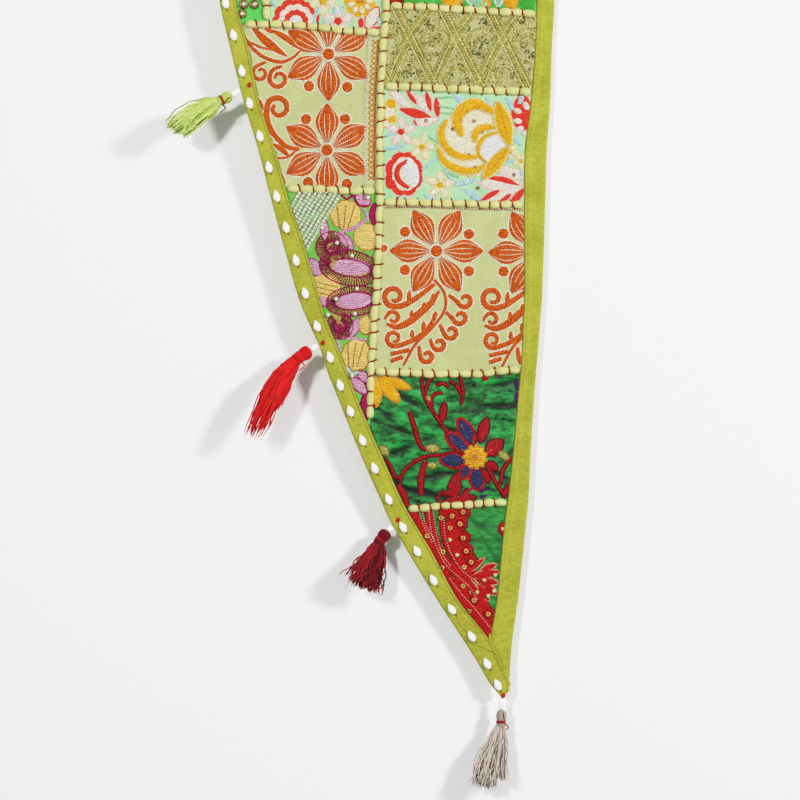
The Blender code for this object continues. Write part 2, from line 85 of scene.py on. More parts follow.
class Term:
    """A number in a shader, with the arithmetic that adds its Math nodes."""

    def __init__(self, shader: "Shader", socket: bpy.types.NodeSocket) -> None:
        """Keep the socket and the shader that it belongs to.

        Args:
            shader: The shader that new nodes are added to.
            socket: The output socket that gives the number.
        """
        self.shader = shader
        self.socket = socket

    def maths(self, operation: str, first: object, second: object = 0.0) -> "Term":
        """Add one Math node.

        Args:
            operation: Name of the Math node's operation.
            first: First value, a term or a plain number.
            second: Second value, a term or a plain number.

        Returns:
            The node's result.
        """
        return self.shader.node("ShaderNodeMath", {"operation": operation}, {0: first, 1: second})

    def __add__(self, other: object) -> "Term":
        """Sum with another value."""
        return self.maths("ADD", self, other)

    def __rsub__(self, other: object) -> "Term":
        """Difference of another value from this one."""
        return self.maths("SUBTRACT", other, self)

    def __mul__(self, other: object) -> "Term":
        """Product with another value."""
        return self.maths("MULTIPLY", self, other)

    __radd__ = __add__
    __rmul__ = __mul__

    def wave(self) -> "Term":
        """Sine of this value, moved into the range from 0 to 1."""
        return self.maths("SINE", self) * 0.5 + 0.5

    def above(self, level: float, soft: float) -> "Term":
        """Rise from 0 to 1 where this value passes a level.

        Args:
            level: Value at which the result is a half.
            soft: Half the width of the slope.

        Returns:
            The mask.
        """
        ends = {1: level - soft, 2: level + soft}
        return self.shader.node("ShaderNodeMapRange", {"interpolation_type": "SMOOTHSTEP"},
                                {0: self, **ends})


class Shader:
    """One material's node tree, with the few ways that a finish adds to it."""

    def __init__(self, name: str, **plain: object) -> None:
        """Start a material with one Principled shader.

        Args:
            name: Name of the material.
            plain: Values of the shader's own sockets that are the same all over.
        """
        self.material = bpy.data.materials.new(name)
        self.material.use_nodes = True
        self.tree = self.material.node_tree
        self.surface = self.tree.nodes["Principled BSDF"]
        self.output = self.tree.nodes["Material Output"]
        for socket, value in plain.items():
            self.surface.inputs[socket.replace("_", " ")].default_value = value
        self.place = self.node("ShaderNodeTexCoord", out="Object")

    def node(self, kind: str, settings: dict = {}, values: dict = {}, out: object = 0) -> Term:
        """Add a node: its settings first, then the values or links of its sockets.

        Args:
            kind: Type of the node.
            settings: Attributes of the node, such as its operation.
            values: Value, term or colour for each socket, by name or number.
            out: Name or number of the output that is wanted.

        Returns:
            The output asked for.
        """
        added = self.tree.nodes.new(kind)
        for name, value in settings.items():
            setattr(added, name, value)
        for socket, value in values.items():
            if isinstance(value, Term):
                self.tree.links.new(value.socket, added.inputs[socket])
            else:
                added.inputs[socket].default_value = value
        return Term(self, added.outputs[out])

    def feed(self, socket: str, value: Term) -> None:
        """Link a value into the Principled shader."""
        self.tree.links.new(value.socket, self.surface.inputs[socket])

    def stretched(self, along: float, side: float, out: float) -> Term:
        """Object coordinates with each axis scaled by itself."""
        scale = {"operation": "MULTIPLY"}
        return self.node("ShaderNodeVectorMath", scale, {0: self.place, 1: (along, out, side)})

    def noise(self, size: float, detail: float = 2.0, rough: float = 0.5, place: Term = None) -> Term:
        """Add soft noise.

        Args:
            size: Width of its lumps in millimetres.
            detail: Octaves of finer noise on it.
            rough: Strength of each finer octave.
            place: Coordinates, or None for the object's own.

        Returns:
            The noise, about 0.5 on average.
        """
        values = {"Vector": place or self.place, "Scale": 1 / (size * MM), "Detail": detail,
                  "Roughness": rough}
        return self.node("ShaderNodeTexNoise", {"noise_dimensions": "3D"}, values)

    def attribute(self, name: str) -> Term:
        """Read a number that the mesh keeps at each point."""
        return self.node("ShaderNodeAttribute", {"attribute_name": name}, out="Fac")

    def axes(self) -> tuple[Term, Term, Term]:
        """Object coordinates as three numbers, in metres."""
        split = self.node("ShaderNodeSeparateXYZ", {}, {0: self.place})
        outputs = split.socket.node.outputs
        return Term(self, outputs[0]), Term(self, outputs[1]), Term(self, outputs[2])

    def blend(self, share: object, first: object, second: object) -> Term:
        """Mix two colours.

        Args:
            share: How much of the second colour shows, from 0 to 1.
            first: First colour, a term or a linear colour.
            second: Second colour, a term or a linear colour.

        Returns:
            The mixed colour.
        """
        colours = [c if isinstance(c, Term) else (*c, 1.0) for c in (first, second)]
        settings = {"data_type": "RGBA", "clamp_factor": True}
        return self.node("ShaderNodeMix", settings, {0: share, 6: colours[0], 7: colours[1]}, out=2)

    def bump(self, height: Term, depth: float, strength: float = 1.0) -> None:
        """Raise the surface by a height from 0 to 1.

        Args:
            height: The height.
            depth: Size of a full step, in millimetres.
            strength: Share of the effect.
        """
        values = {"Height": height, "Distance": depth * MM, "Strength": strength}
        self.feed("Normal", self.node("ShaderNodeBump", {}, values))


@dataclass(frozen=True)
class Cotton:
    """Plain woven cotton: crossing threads, uneven tone and soft creases.

    Attributes:
        light: Colour of the raised threads, painted light on them.
        dark: Colour painted between them as painted shade, and where the cloth is worn.
        pitch: Distance between threads, in millimetres.
        crease: Depth of the small creases, in millimetres.
        roughness: Roughness of the cloth.
        sheen: Strength of its fuzz.
        sway: Width of the sways in its threads, in millimetres.
        cloud: Width of its lighter and darker areas, in millimetres.
        slub: Width of the thick places in its threads, in millimetres.
        crumple: Width of its small creases, in millimetres.
    """

    light: Colour
    dark: Colour
    pitch: float = 0.9
    crease: float = 0.5
    roughness: float = 0.82
    sheen: float = 0.15
    sway: float = 9.0
    cloud: float = 26.0
    slub: float = 2.0
    crumple: float = 17.0

    def make(self, name: str) -> bpy.types.Material:
        """Build the material.

        Args:
            name: Name of the material.

        Returns:
            The material.
        """
        shader = Shader(name, Sheen_Weight=self.sheen, Sheen_Roughness=0.5, Specular_IOR_Level=0.25)
        x, _, z = shader.axes()
        wander = shader.noise(self.sway) * 0.6 * MM
        turns = tau / (self.pitch * MM)
        warp = ((x + wander) * turns).wave()
        weft = ((z + wander) * turns).wave()
        weave = warp * weft
        cloud = shader.noise(self.cloud, 4.0, 0.6)
        slub = shader.noise(self.slub, 3.0, 0.75, shader.stretched(0.45, 1.0, 1.0))
        worn = (cloud * 0.4 + slub * 0.6).above(0.49, 0.13)
        # painted light and shade: the weave that the bump raises also lightens the raised threads and darkens
        # the gaps between them
        shader.feed("Base Color", shader.blend(worn * 0.65 + weave * 0.35, self.dark, self.light))
        shader.feed("Roughness", slub * 0.12 + (self.roughness - 0.06))
        creases = shader.noise(self.crumple, 3.0, 0.45, shader.stretched(0.7, 1.3, 1.0))
        shader.bump(weave * (0.16 / self.crease) + creases + slub * 0.12, self.crease)
        return shader.material


@dataclass(frozen=True)
class Satin:
    """Shiny woven satin, with painted light on its swells and painted shade in its creases.

    Attributes:
        light: Colour painted on the swells as painted light.
        dark: Colour painted in the hollows and creases as painted shade.
        roughness: Roughness of the cloth.
        grain: Width of its fine lines, in millimetres.
        swell: Width of its swells, in millimetres.
        depth: Depth of its hollows, in millimetres.
    """

    light: Colour
    dark: Colour
    roughness: float = 0.36
    grain: float = 0.8
    swell: float = 10.0
    depth: float = 1.5

    def make(self, name: str) -> bpy.types.Material:
        """Build the material.

        Args:
            name: Name of the material.

        Returns:
            The material.
        """
        shader = Shader(name, Sheen_Weight=0.1, Sheen_Roughness=0.3, Specular_IOR_Level=0.4)
        grain = shader.noise(self.grain, 2.0, 0.6, shader.stretched(0.2, 1.0, 1.0))
        cloud = shader.noise(self.swell, 5.0, 0.66, shader.stretched(0.7, 1.4, 1.0))
        hollow = shader.attribute("hollow")
        # painted light and shade: the colour follows the swells that the bump raises, and the hollow mark
        # paints the creases dark
        share = (cloud * 0.82 + grain * 0.18).above(0.5, 0.15) * (1 - hollow)
        shader.feed("Base Color", shader.blend(share, self.dark, self.light))
        shader.feed("Roughness", grain * 0.2 + (self.roughness - 0.1))
        shader.bump(cloud + grain * 0.1, self.depth)
        return shader.material


@dataclass(frozen=True)
class Thread:
    """Embroidery thread, laid in close stitches.

    Attributes:
        light: Colour of the lit threads.
        dark: Colour of the darker flecks, and painted shade between the stitches.
        pitch: Distance between stitches, in millimetres.
        mottle: Share of the surface that the darker colour takes, from 0 to 1.
        roughness: Roughness of the thread.
        fleck: Width of its flecks, in millimetres.
        sway: Width of the sways in its stitches, in millimetres.
        pit: Width of the gaps between stitches, which are painted in shade, in millimetres.
        depth: Depth of its stitches, in millimetres.
    """

    light: Colour
    dark: Colour
    pitch: float = 1.9
    mottle: float = 0.5
    roughness: float = 0.5
    fleck: float = 2.4
    sway: float = 5.0
    pit: float = 3.1
    depth: float = 0.6

    def make(self, name: str) -> bpy.types.Material:
        """Build the material.

        Args:
            name: Name of the material.

        Returns:
            The material.
        """
        shader = Shader(name, Sheen_Weight=0.08, Sheen_Roughness=0.35, Specular_IOR_Level=0.3)
        fleck = shader.noise(self.fleck, 4.0, 0.8)
        wander = shader.noise(self.sway, 2.0, 0.5) * 5.0 + fleck * 0.8
        ridge = ((shader.attribute("stitch") + wander) * (tau / self.pitch)).wave()
        pit = shader.noise(self.pit, 3.0, 0.75, shader.stretched(1.3, 1.0, 0.8))
        # painted light: the stitch ridges that the bump raises are also lighter in colour
        share = (fleck * 0.76 + ridge * 0.24).above(0.34 + 0.3 * self.mottle, 0.07)
        # painted shade: the gaps between stitches are darkened to half the dark colour
        shaded = tuple(channel * PIT_SHADE_SHARE for channel in self.dark)
        worked = shader.blend(share, self.dark, self.light)
        shader.feed("Base Color", shader.blend((pit * 0.75 + ridge * 0.25).above(0.38, 0.05), shaded, worked))
        shader.feed("Roughness", fleck * 0.2 + (self.roughness - 0.1))
        shader.bump(ridge * 0.7 + fleck * 0.7, self.depth)
        return shader.material


@dataclass(frozen=True)
class Yarn:
    """Loose tassel yarn: each strand a little different, with painted shade towards its root and painted
    light on the outer strands.

    Attributes:
        light: Colour of the outer strands, a painted light.
        mid: Colour of most strands.
        dark: Colour of the strands in shade.
        twist: Length of one turn of its plies, in millimetres.
        fuzz: Width of its fuzz, in millimetres.
        depth: Depth of its twist, in millimetres.
    """

    light: Colour
    mid: Colour
    dark: Colour
    twist: float = 1.3
    fuzz: float = 1.1
    depth: float = 0.25

    def make(self, name: str) -> bpy.types.Material:
        """Build the material.

        Args:
            name: Name of the material.

        Returns:
            The material.
        """
        shader = Shader(name, Sheen_Weight=0.15, Sheen_Roughness=0.5, Specular_IOR_Level=0.2)
        strand = shader.attribute("shade")
        twist = (shader.attribute("stitch") * (tau / self.twist)).wave()
        fuzz = shader.noise(self.fuzz, 3.0, 0.6)
        shaded = shader.blend(strand.above(0.35, 0.3), self.dark, self.mid)
        pale = shader.blend((strand * 0.7 + fuzz * 0.3).above(0.66, 0.2), shaded, self.light)
        shader.feed("Base Color", pale)
        shader.feed("Roughness", fuzz * 0.15 + 0.75)
        shader.bump(twist * 0.6 + fuzz * 0.6, self.depth)
        return shader.material


@dataclass(frozen=True)
class Glazed:
    """Hard and smooth: shell, glass bead or metal, with a few cloudy marks.

    Attributes:
        light: Main colour.
        dark: Colour of the marks.
        roughness: Roughness of the surface.
        metal: How metallic it is, from 0 to 1.
        coat: Strength of a clear coat.
        size: Width of the marks, in millimetres.
        depth: Depth of the marks, in millimetres.
    """

    light: Colour
    dark: Colour
    roughness: float = 0.25
    metal: float = 0.0
    coat: float = 0.4
    size: float = 3.0
    depth: float = 0.12

    def make(self, name: str) -> bpy.types.Material:
        """Build the material.

        Args:
            name: Name of the material.

        Returns:
            The material.
        """
        shader = Shader(name, Metallic=self.metal, Coat_Weight=self.coat, Coat_Roughness=0.12)
        cloud = shader.noise(self.size, 3.0, 0.6)
        shader.feed("Base Color", shader.blend(cloud.above(0.46, 0.2), self.dark, self.light))
        shader.feed("Roughness", cloud * 0.16 + (self.roughness - 0.08))
        shader.bump(cloud, self.depth)
        return shader.material


class Seam(Enum):
    """Lines that the cloth is cut and sewn along."""

    LEFT_OUTER = "left_outer"
    LEFT_INNER = "left_inner"
    RIGHT_INNER = "right_inner"
    RIGHT_OUTER = "right_outer"
    COLUMN = "column"
    CORNER = "corner"
    RIGHT_OF_BOTH = "right_of_both"
    CROSSING = "crossing"
    TOP_EDGE = "top_edge"
    HEADING = "heading"
    MINT_TOP = "mint_top"
    SATIN_TOP = "satin_top"
    OLIVE = "olive"
    SAGE_LEFT = "sage_left"
    MINT_RIGHT = "mint_right"
    SAGE_RIGHT = "sage_right"
    SATIN = "satin"
    PAISLEY_END = "paisley_end"
    APEX = "apex"
    TIP_EDGE = "tip_edge"
    RIGHT_TIP = "right_tip"


HEADING_HEIGHT = 24.0
OUTLINE = (
    (0, -172, -157, 154, 172),
    (85, -161, -144, 156.5, 174.5),
    (135, -149.5, -131, 155, 172),
    (185, -137, -121, 151, 170.5),
    (235, -122, -105, 145, 167),
    (285, -109, -91, 144, 165.5),
    (335, -95.5, -74, 144, 164),
    (385, -81, -60, 144, 162),
    (410, -70.5, -51.5, 142.5, 160),
    (432, -60.5, -42.5, 142, 158.5),
    (460, -51.5, -31, 140, 156),
    (485, -41.5, -22, 137.5, 154),
    (535, -21.5, -0.5, 133, 151),
    (585, 0.5, 22, 127.5, 148.5),
    (605, 9.5, 33, 124.5, 146.5),
    (635, 26.5, 51, 121.5, 143.5),
    (685, 57, 78.5, 116.5, 138),
    (724, 82.5, 109, 110.5, 132.5),
    (745, 96, 119, 110.5, 130.5),
    (768, 109.5, 129, 110.5, 129.6),
    (782, 121, 129.6, 110.5, 129.3),
)
UPRIGHT_SEAMS = {
    Seam.COLUMN: (
        (8.5, HEADING_HEIGHT), (6, 95), (3, 135), (0.5, 175), (-0.5, 235), (-0.5, 305),
        (-3, 365), (-6.5, 415), (-9.5, 465), (-9.5, 790),
    ),
    Seam.CORNER: ((-114.5, HEADING_HEIGHT), (-113.5, 110)),
}
LEVEL_SEAMS = {
    Seam.TOP_EDGE: ((-172, -GAP / 2), (172, -GAP / 2)),
    Seam.HEADING: ((-172, HEADING_HEIGHT), (172, HEADING_HEIGHT)),
    Seam.MINT_TOP: ((-139, 109), (-80, 110), (-40, 115), (6, 119)),
    Seam.SATIN_TOP: ((6, 90), (156, 99)),
    Seam.OLIVE: ((1, 171), (150, 177)),
    Seam.SAGE_LEFT: ((-95, 273), (0, 277)),
    Seam.MINT_RIGHT: ((0, 287), (143, 290)),
    Seam.SAGE_RIGHT: ((-9, 456), (50, 459), (100, 459), (141, 454)),
    Seam.SATIN: ((25, 594), (80, 590), (126, 587)),
    Seam.PAISLEY_END: ((-20, 510), (0, 510)),
    Seam.APEX: ((100, 722.5), (115, 722.5)),
    Seam.TIP_EDGE: ((120.5, 782), (129, 776)),
    Seam.RIGHT_TIP: ((120, 762), (130, 762)),
}
CROSSING_GAP = 0.8


def straight_line(keys: Sequence[float], values: Sequence[float]) -> Line:
    """Make a line of straight runs through rows of a table.

    Args:
        keys: Places of the rows, rising.
        values: Value at each row.

    Returns:
        The line, which runs on straight past both ends.
    """
    keys, values = np.array(keys, float), np.array(values, float)

    def read(place: Number) -> Number:
        """Read the line at one place or many."""
        index = np.clip(np.searchsorted(keys, place) - 1, 0, len(keys) - 2)
        share = (place - keys[index]) / (keys[index + 1] - keys[index])
        return values[index] + share * (values[index + 1] - values[index])

    return read


def soft_line(keys: Sequence[float], values: Sequence[float]) -> Line:
    """Make a soft curve through rows of a table, however uneven.

    Args:
        keys: Places of the rows, rising.
        values: Value at each row.

    Returns:
        The curve, level past both ends.
    """
    keys, values = np.array(keys, float), np.array(values, float)
    last = len(keys) - 1

    def read(place: Number) -> Number:
        """Read the curve at one place or many."""
        index = np.clip(np.searchsorted(keys, place) - 1, 0, last - 1)
        before, after = np.maximum(index - 1, 0), np.minimum(index + 2, last)
        span = keys[index + 1] - keys[index]
        t = np.clip((place - keys[index]) / span, 0.0, 1.0)
        rise = values[index + 1] - values[index]
        slope_in = (values[index + 1] - values[before]) / (keys[index + 1] - keys[before]) * span
        slope_out = (values[after] - values[index]) / (keys[after] - keys[index]) * span
        return values[index] + rise * t * t * (3 - 2 * t) + t * (1 - t) * ((1 - t) * slope_in - t * slope_out)

    return read


def cut_lines() -> dict[Seam, Line]:
    """Make every line of the cut: upright ones give across for a drop, level ones drop for an across.

    Returns:
        The lines by name.
    """
    rows = np.array(OUTLINE, float).T
    sides = (Seam.LEFT_OUTER, Seam.LEFT_INNER, Seam.RIGHT_INNER, Seam.RIGHT_OUTER)
    lines = {side: soft_line(rows[0], row) for side, row in zip(sides, rows[1:])}
    for name, points in UPRIGHT_SEAMS.items():
        lines[name] = straight_line([p[1] for p in points], [p[0] for p in points])
    for name, points in LEVEL_SEAMS.items():
        lines[name] = straight_line([p[0] for p in points], [p[1] for p in points])
    inner = lines[Seam.LEFT_INNER]
    lines[Seam.RIGHT_OF_BOTH] = lambda drop: np.maximum(lines[Seam.COLUMN](drop), inner(drop))
    lines[Seam.CROSSING] = lambda drop: np.maximum(lines[Seam.RIGHT_INNER](drop), inner(drop) + CROSSING_GAP)
    return lines


LINES = cut_lines()


@dataclass(frozen=True)
class Fold:
    """One soft fold or crease: where it lies, how it is turned, its half sizes and its rise."""

    across: float
    drop: float
    turn: float
    half_width: float
    half_length: float
    rise: float

    def height(self, across: Number, drop: Number) -> Number:
        """Height of the fold at one place or many.

        Args:
            across: Distance to the right, in millimetres.
            drop: Distance below the top edge, in millimetres.

        Returns:
            How far the fold lifts the cloth there.
        """
        turn = radians(self.turn)
        dx, dy = across - self.across, drop - self.drop
        along = (dx * cos(turn) + dy * sin(turn)) / self.half_length
        aside = (dy * cos(turn) - dx * sin(turn)) / self.half_width
        return self.rise * np.exp(-along * along - aside * aside)


FOLDS = (
    Fold(-65, 181, 2, 15, 75, -1.3),
    Fold(-72, 415, 60, 18, 30, 1.8),
    Fold(25, 500, -58, 15, 50, 1.5),
    Fold(92, 545, 32, 16, 48, 1.4),
    Fold(80, 478, 4, 14, 60, -1.2),
    Fold(95, 650, -62, 18, 60, 1.2),
    Fold(120, 772, 60, 26, 34, 2.6),
)
CREASES = (
    Fold(-70, 181, 3, 2.2, 55, -0.7),
    Fold(-60, 186, 5, 2.6, 40, 0.45),
    Fold(108, 318, -72, 3, 26, -0.4),
    Fold(70, 435, 12, 3, 30, 0.4),
    Fold(118, 491, 3, 3.2, 26, -1.5),
    Fold(112, 500, 4, 3.0, 30, 1.1),
    Fold(26, 484, 30, 2.6, 24, -1.4),
    Fold(34, 478, 32, 2.4, 26, 0.9),
    Fold(6, 500, 42, 2.2, 18, -1.0),
    Fold(14, 513, 20, 2.6, 26, -1.0),
    Fold(72, 515, 18, 3.0, 30, -1.2),
    Fold(20, 535, -20, 3.5, 22, -1.2),
    Fold(12, 560, 55, 4.0, 20, -1.2),
    Fold(58, 560, -8, 3.4, 32, -1.3),
    Fold(45, 578, 12, 4.0, 34, -1.5),
    Fold(120, 560, 28, 3.0, 20, -1.1),
    Fold(88, 478, -4, 2.4, 42, 0.8),
    Fold(60, 468, 10, 2.0, 34, -0.9),
    Fold(124, 469, -10, 3.2, 16, -1.3),
    Fold(98, 610, 36, 2.2, 22, -0.9),
    Fold(108, 632, 60, 2.0, 20, -0.8),
    Fold(104, 652, 10, 2.0, 14, -0.8),
)
HANG_RISE = 2.2
HANG_WAVE = 185.0
HANG_DRIFT = 0.14
HANG_FREE = 260.0
PUCKER_DEPTH = 0.32
PUCKER_REACH = 7.0


class Patch(NamedTuple):
    """One piece of cloth between four lines, with its material slot and its finish."""

    name: str
    left: Seam
    right: Seam
    top: Seam
    bottom: Seam
    slot: str
    finish: str


PATCHES = (
    Patch("patch_bead_corner", Seam.LEFT_INNER, Seam.CORNER, Seam.HEADING, Seam.MINT_TOP, "bead_cloth",
          "bead_ground"),
    Patch("patch_mint_top", Seam.CORNER, Seam.COLUMN, Seam.HEADING, Seam.MINT_TOP, "mint_cotton",
          "mint_ground"),
    Patch("patch_satin_top", Seam.COLUMN, Seam.RIGHT_INNER, Seam.HEADING, Seam.SATIN_TOP, "green_satin",
          "spring_satin"),
    Patch("patch_sage_left", Seam.LEFT_INNER, Seam.COLUMN, Seam.MINT_TOP, Seam.SAGE_LEFT, "sage_cotton",
          "sage_ground"),
    Patch("patch_olive_lattice", Seam.COLUMN, Seam.RIGHT_INNER, Seam.SATIN_TOP, Seam.OLIVE, "olive_cotton",
          "olive_ground"),
    Patch("patch_mint_right", Seam.COLUMN, Seam.RIGHT_INNER, Seam.OLIVE, Seam.MINT_RIGHT, "mint_cotton",
          "mint_ground"),
    Patch("patch_paisley", Seam.LEFT_INNER, Seam.COLUMN, Seam.SAGE_LEFT, Seam.PAISLEY_END, "leaf_cotton",
          "leaf_ground"),
    Patch("patch_sage_right", Seam.COLUMN, Seam.RIGHT_INNER, Seam.MINT_RIGHT, Seam.SAGE_RIGHT,
          "sage_cotton", "sage_ground"),
    Patch("patch_green_satin", Seam.RIGHT_OF_BOTH, Seam.RIGHT_INNER, Seam.SAGE_RIGHT, Seam.SATIN,
          "green_satin", "deep_satin"),
    Patch("patch_tip", Seam.LEFT_INNER, Seam.RIGHT_INNER, Seam.SATIN, Seam.APEX, "emerald_cotton",
          "emerald_ground"),
)
BANDS = (
    Patch("heading", Seam.LEFT_OUTER, Seam.RIGHT_OUTER, Seam.TOP_EDGE, Seam.HEADING, "lime_cotton", "lime"),
    Patch("binding_left", Seam.LEFT_OUTER, Seam.LEFT_INNER, Seam.HEADING, Seam.TIP_EDGE, "lime_cotton",
          "lime"),
    Patch("binding_right", Seam.CROSSING, Seam.RIGHT_OUTER, Seam.HEADING, Seam.RIGHT_TIP, "lime_cotton",
          "lime"),
)
LEVEL_PITCH = 12.0
SETTLE_ROUNDS = 30


class HangingCloth:
    """The shape that the whole drop hangs in."""

    @staticmethod
    def relief(across: Number, drop: Number) -> Number:
        """Height of the cloth's front, as the solids have it.

        Args:
            across: Distance to the right, in millimetres.
            drop: Distance below the top edge, in millimetres.

        Returns:
            How far the cloth stands out there.
        """
        free = np.clip((drop - HEADING_HEIGHT) / HANG_FREE, 0.0, 1.0)
        out = HANG_RISE * free * np.sin(tau * (across + HANG_DRIFT * drop) / HANG_WAVE)
        return out + sum(fold.height(across, drop) for fold in FOLDS)

    @classmethod
    def front(cls, across: Number, drop: Number) -> Number:
        """Height of a patch's front, with its small creases and the puckers at its seams.

        Args:
            across: Distance to the right, in millimetres.
            drop: Distance below the top edge, in millimetres.

        Returns:
            How far the patch stands out there.
        """
        out = cls.relief(across, drop) + sum(crease.height(across, drop) for crease in CREASES)
        for seam in (Seam.MINT_TOP, Seam.SATIN_TOP, Seam.OLIVE, Seam.SAGE_LEFT, Seam.MINT_RIGHT,
                     Seam.SAGE_RIGHT, Seam.SATIN):
            away = np.abs(LINES[seam](across) - drop)
            out = out + PUCKER_DEPTH * np.exp(-away / PUCKER_REACH) * np.cos(tau * across / LEVEL_PITCH)
        return out

    @staticmethod
    def place(across: Number, drop: Number, out: Number) -> Array:
        """Turn the flat frame upright.

        Args:
            across: Distance to the right, in millimetres.
            drop: Distance below the top edge, in millimetres.
            out: Distance towards the room, in millimetres.

        Returns:
            Points in the part's own frame, in metres, along a last axis of three.
        """
        across, drop, out = np.broadcast_arrays(across, drop, out)
        return np.stack((across, -out, -drop), axis=-1) * MM

    @staticmethod
    def settle(patch: Patch, s: Array, t: Array) -> tuple[Array, Array]:
        """Find points inside a patch from their shares of the way across and down.

        Args:
            patch: The piece of cloth.
            s: Share of the way from its left line to its right one.
            t: Share of the way from its top line to its bottom one.

        Returns:
            Across and drop of each point.
        """
        left, right = LINES[patch.left], LINES[patch.right]
        top, bottom = LINES[patch.top], LINES[patch.bottom]
        across = np.zeros_like(s)
        drop = top(across) * (1 - t) + bottom(across) * t
        for _ in range(SETTLE_ROUNDS):
            across = (left(drop) + GAP / 2) * (1 - s) + (right(drop) - GAP / 2) * s
            drop = (top(across) + GAP / 2) * (1 - t) + (bottom(across) - GAP / 2) * t
        return across, drop


class Finishes:
    """Every finish of the drop by name, each made once, when the first piece wears it."""

    def __init__(self, kinds: dict[str, object]) -> None:
        """Keep the finishes.

        Args:
            kinds: Each finish by its name.
        """
        self.kinds = kinds
        self.made: dict[str, bpy.types.Material] = {}

    def get(self, name: str) -> bpy.types.Material:
        """Give a finish's material.

        Args:
            name: Name of the finish.

        Returns:
            Its material.
        """
        if name not in self.made:
            self.made[name] = self.kinds[name].make(name)
        return self.made[name]


TUCK_REACH = 1.6
TUCK_LEAST = 0.12


class Work:
    """One piece as it is sewn: grids of points that become one mesh with its finishes."""

    def __init__(self, name: str, slot: str, window: Patch = None) -> None:
        """Start an empty piece.

        Args:
            name: Name of the piece.
            slot: Material slot of the record; kept on the piece, but not used.
            window: Patch that its stitches stay inside, or None.
        """
        self.name = name
        self.slot = slot
        self.window = window
        self.points: list[Array] = []
        self.faces: list[Array] = []
        self.wears: list[Array] = []
        self.marks: dict[str, list[Array]] = {"stitch": [], "shade": [], "hollow": []}
        self.looks: list[str] = []
        self.count = 0

    def grid(self, points: Array, look: str, round_way: bool = False, keep: Array = None,
             **marks: Number) -> None:
        """Add one grid of points.

        Args:
            points: Places in metres, rows by columns by three.
            look: Name of the finish.
            round_way: Join each row's last point to its first.
            keep: Which points are inside, or None for all.
            marks: Numbers that the mesh keeps at the points, by name.
        """
        rows, columns = points.shape[:2]
        index = np.arange(rows * columns).reshape(rows, columns)
        low, high = index[:-1], index[1:]
        if round_way:
            low, high = (np.concatenate((edge, edge[:, :1]), axis=1) for edge in (low, high))
        quads = np.stack((low[:, :-1], low[:, 1:], high[:, 1:], high[:, :-1]), axis=-1).reshape(-1, 4)
        if keep is not None:
            quads = quads[keep.reshape(-1)[quads].any(axis=1)]
        if look not in self.looks:
            self.looks.append(look)
        self.points.append(points.reshape(-1, 3))
        self.faces.append(quads + self.count)
        self.wears.append(np.full(len(quads), self.looks.index(look)))
        for name, values in self.marks.items():
            mark = np.broadcast_to(np.asarray(marks.get(name, 0.0), float), (rows, columns))
            values.append(mark.reshape(-1))
        self.count += rows * columns

    def lay(self, across: Array, drop: Array, lift: Number, look: str, round_way: bool = False,
            **marks: Number) -> None:
        """Lay a grid on the front of the cloth, cut off at the window's lines.

        Args:
            across: Distance of each point to the right, in millimetres.
            drop: Distance of each point below the top edge, in millimetres.
            lift: Height of each point above the cloth, in millimetres.
            look: Name of the finish.
            round_way: Join each row's last point to its first.
            marks: Numbers that the mesh keeps at the points, by name.
        """
        keep = None
        if self.window is not None:
            left, right = LINES[self.window.left](drop), LINES[self.window.right](drop)
            top, bottom = LINES[self.window.top](across), LINES[self.window.bottom](across)
            keep = (across > left) & (across < right) & (drop > top) & (drop < bottom)
            if not keep.any():
                return
            tuck = np.minimum(across - left, right - across) / TUCK_REACH
            lift = lift * np.clip(tuck, TUCK_LEAST, 1.0)
            across, drop = np.clip(across, left, right), np.clip(drop, top, bottom)
        out = HangingCloth.front(across, drop) + lift
        self.grid(HangingCloth.place(across, drop, out), look, round_way, keep, **marks)

    def closed(self, front: Array, back: Array, look: str, **marks: Number) -> None:
        """Add a thin closed sheet: its front, its back and the four rims between them.

        Args:
            front: Points of the front in metres, rows by columns by three.
            back: Points of the back, in the order of the front's.
            look: Name of the finish.
            marks: Numbers that the mesh keeps at the front's points, by name.
        """
        self.grid(front, look, **marks)
        self.grid(back[:, ::-1], look)
        for rim in ((back[0], front[0]), (front[-1], back[-1]),
                    (front[:, 0], back[:, 0]), (back[:, -1], front[:, -1])):
            self.grid(np.stack(rim), look)

    def finish(self, finishes: Finishes, weld: bool = False) -> bpy.types.Object:
        """Make the mesh, and let the piece ride with the rest.

        Args:
            finishes: The finishes to take materials from.
            weld: Join points that lie in one place, so that the piece is closed.

        Returns:
            The piece.
        """
        points, faces, wears = (np.concatenate(part) for part in (self.points, self.faces, self.wears))
        if weld:
            _, first, same = np.unique(np.round(points, 7), axis=0, return_index=True, return_inverse=True)
            faces = first[same.reshape(-1)[faces]]
        used, inverse = np.unique(faces, return_inverse=True)
        mesh = bpy.data.meshes.new(self.name)
        mesh.from_pydata(points[used], [], inverse.reshape(faces.shape).tolist())
        mesh.polygons.foreach_set("material_index", wears.astype(np.int32))
        for name, values in self.marks.items():
            mark = np.concatenate(values)[used]
            if mark.any():
                layer = mesh.attributes.new(name, "FLOAT", "POINT")
                layer.data.foreach_set("value", mark.astype(np.float32))
        mesh.shade_smooth()
        mesh.update()
        piece = bpy.data.objects.new(self.name, mesh)
        bpy.context.scene.collection.objects.link(piece)
        for look in self.looks:
            mesh.materials.append(finishes.get(look))
        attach(piece, "root")
        LOG.info("%s: %d faces", self.name, len(faces))
        return piece


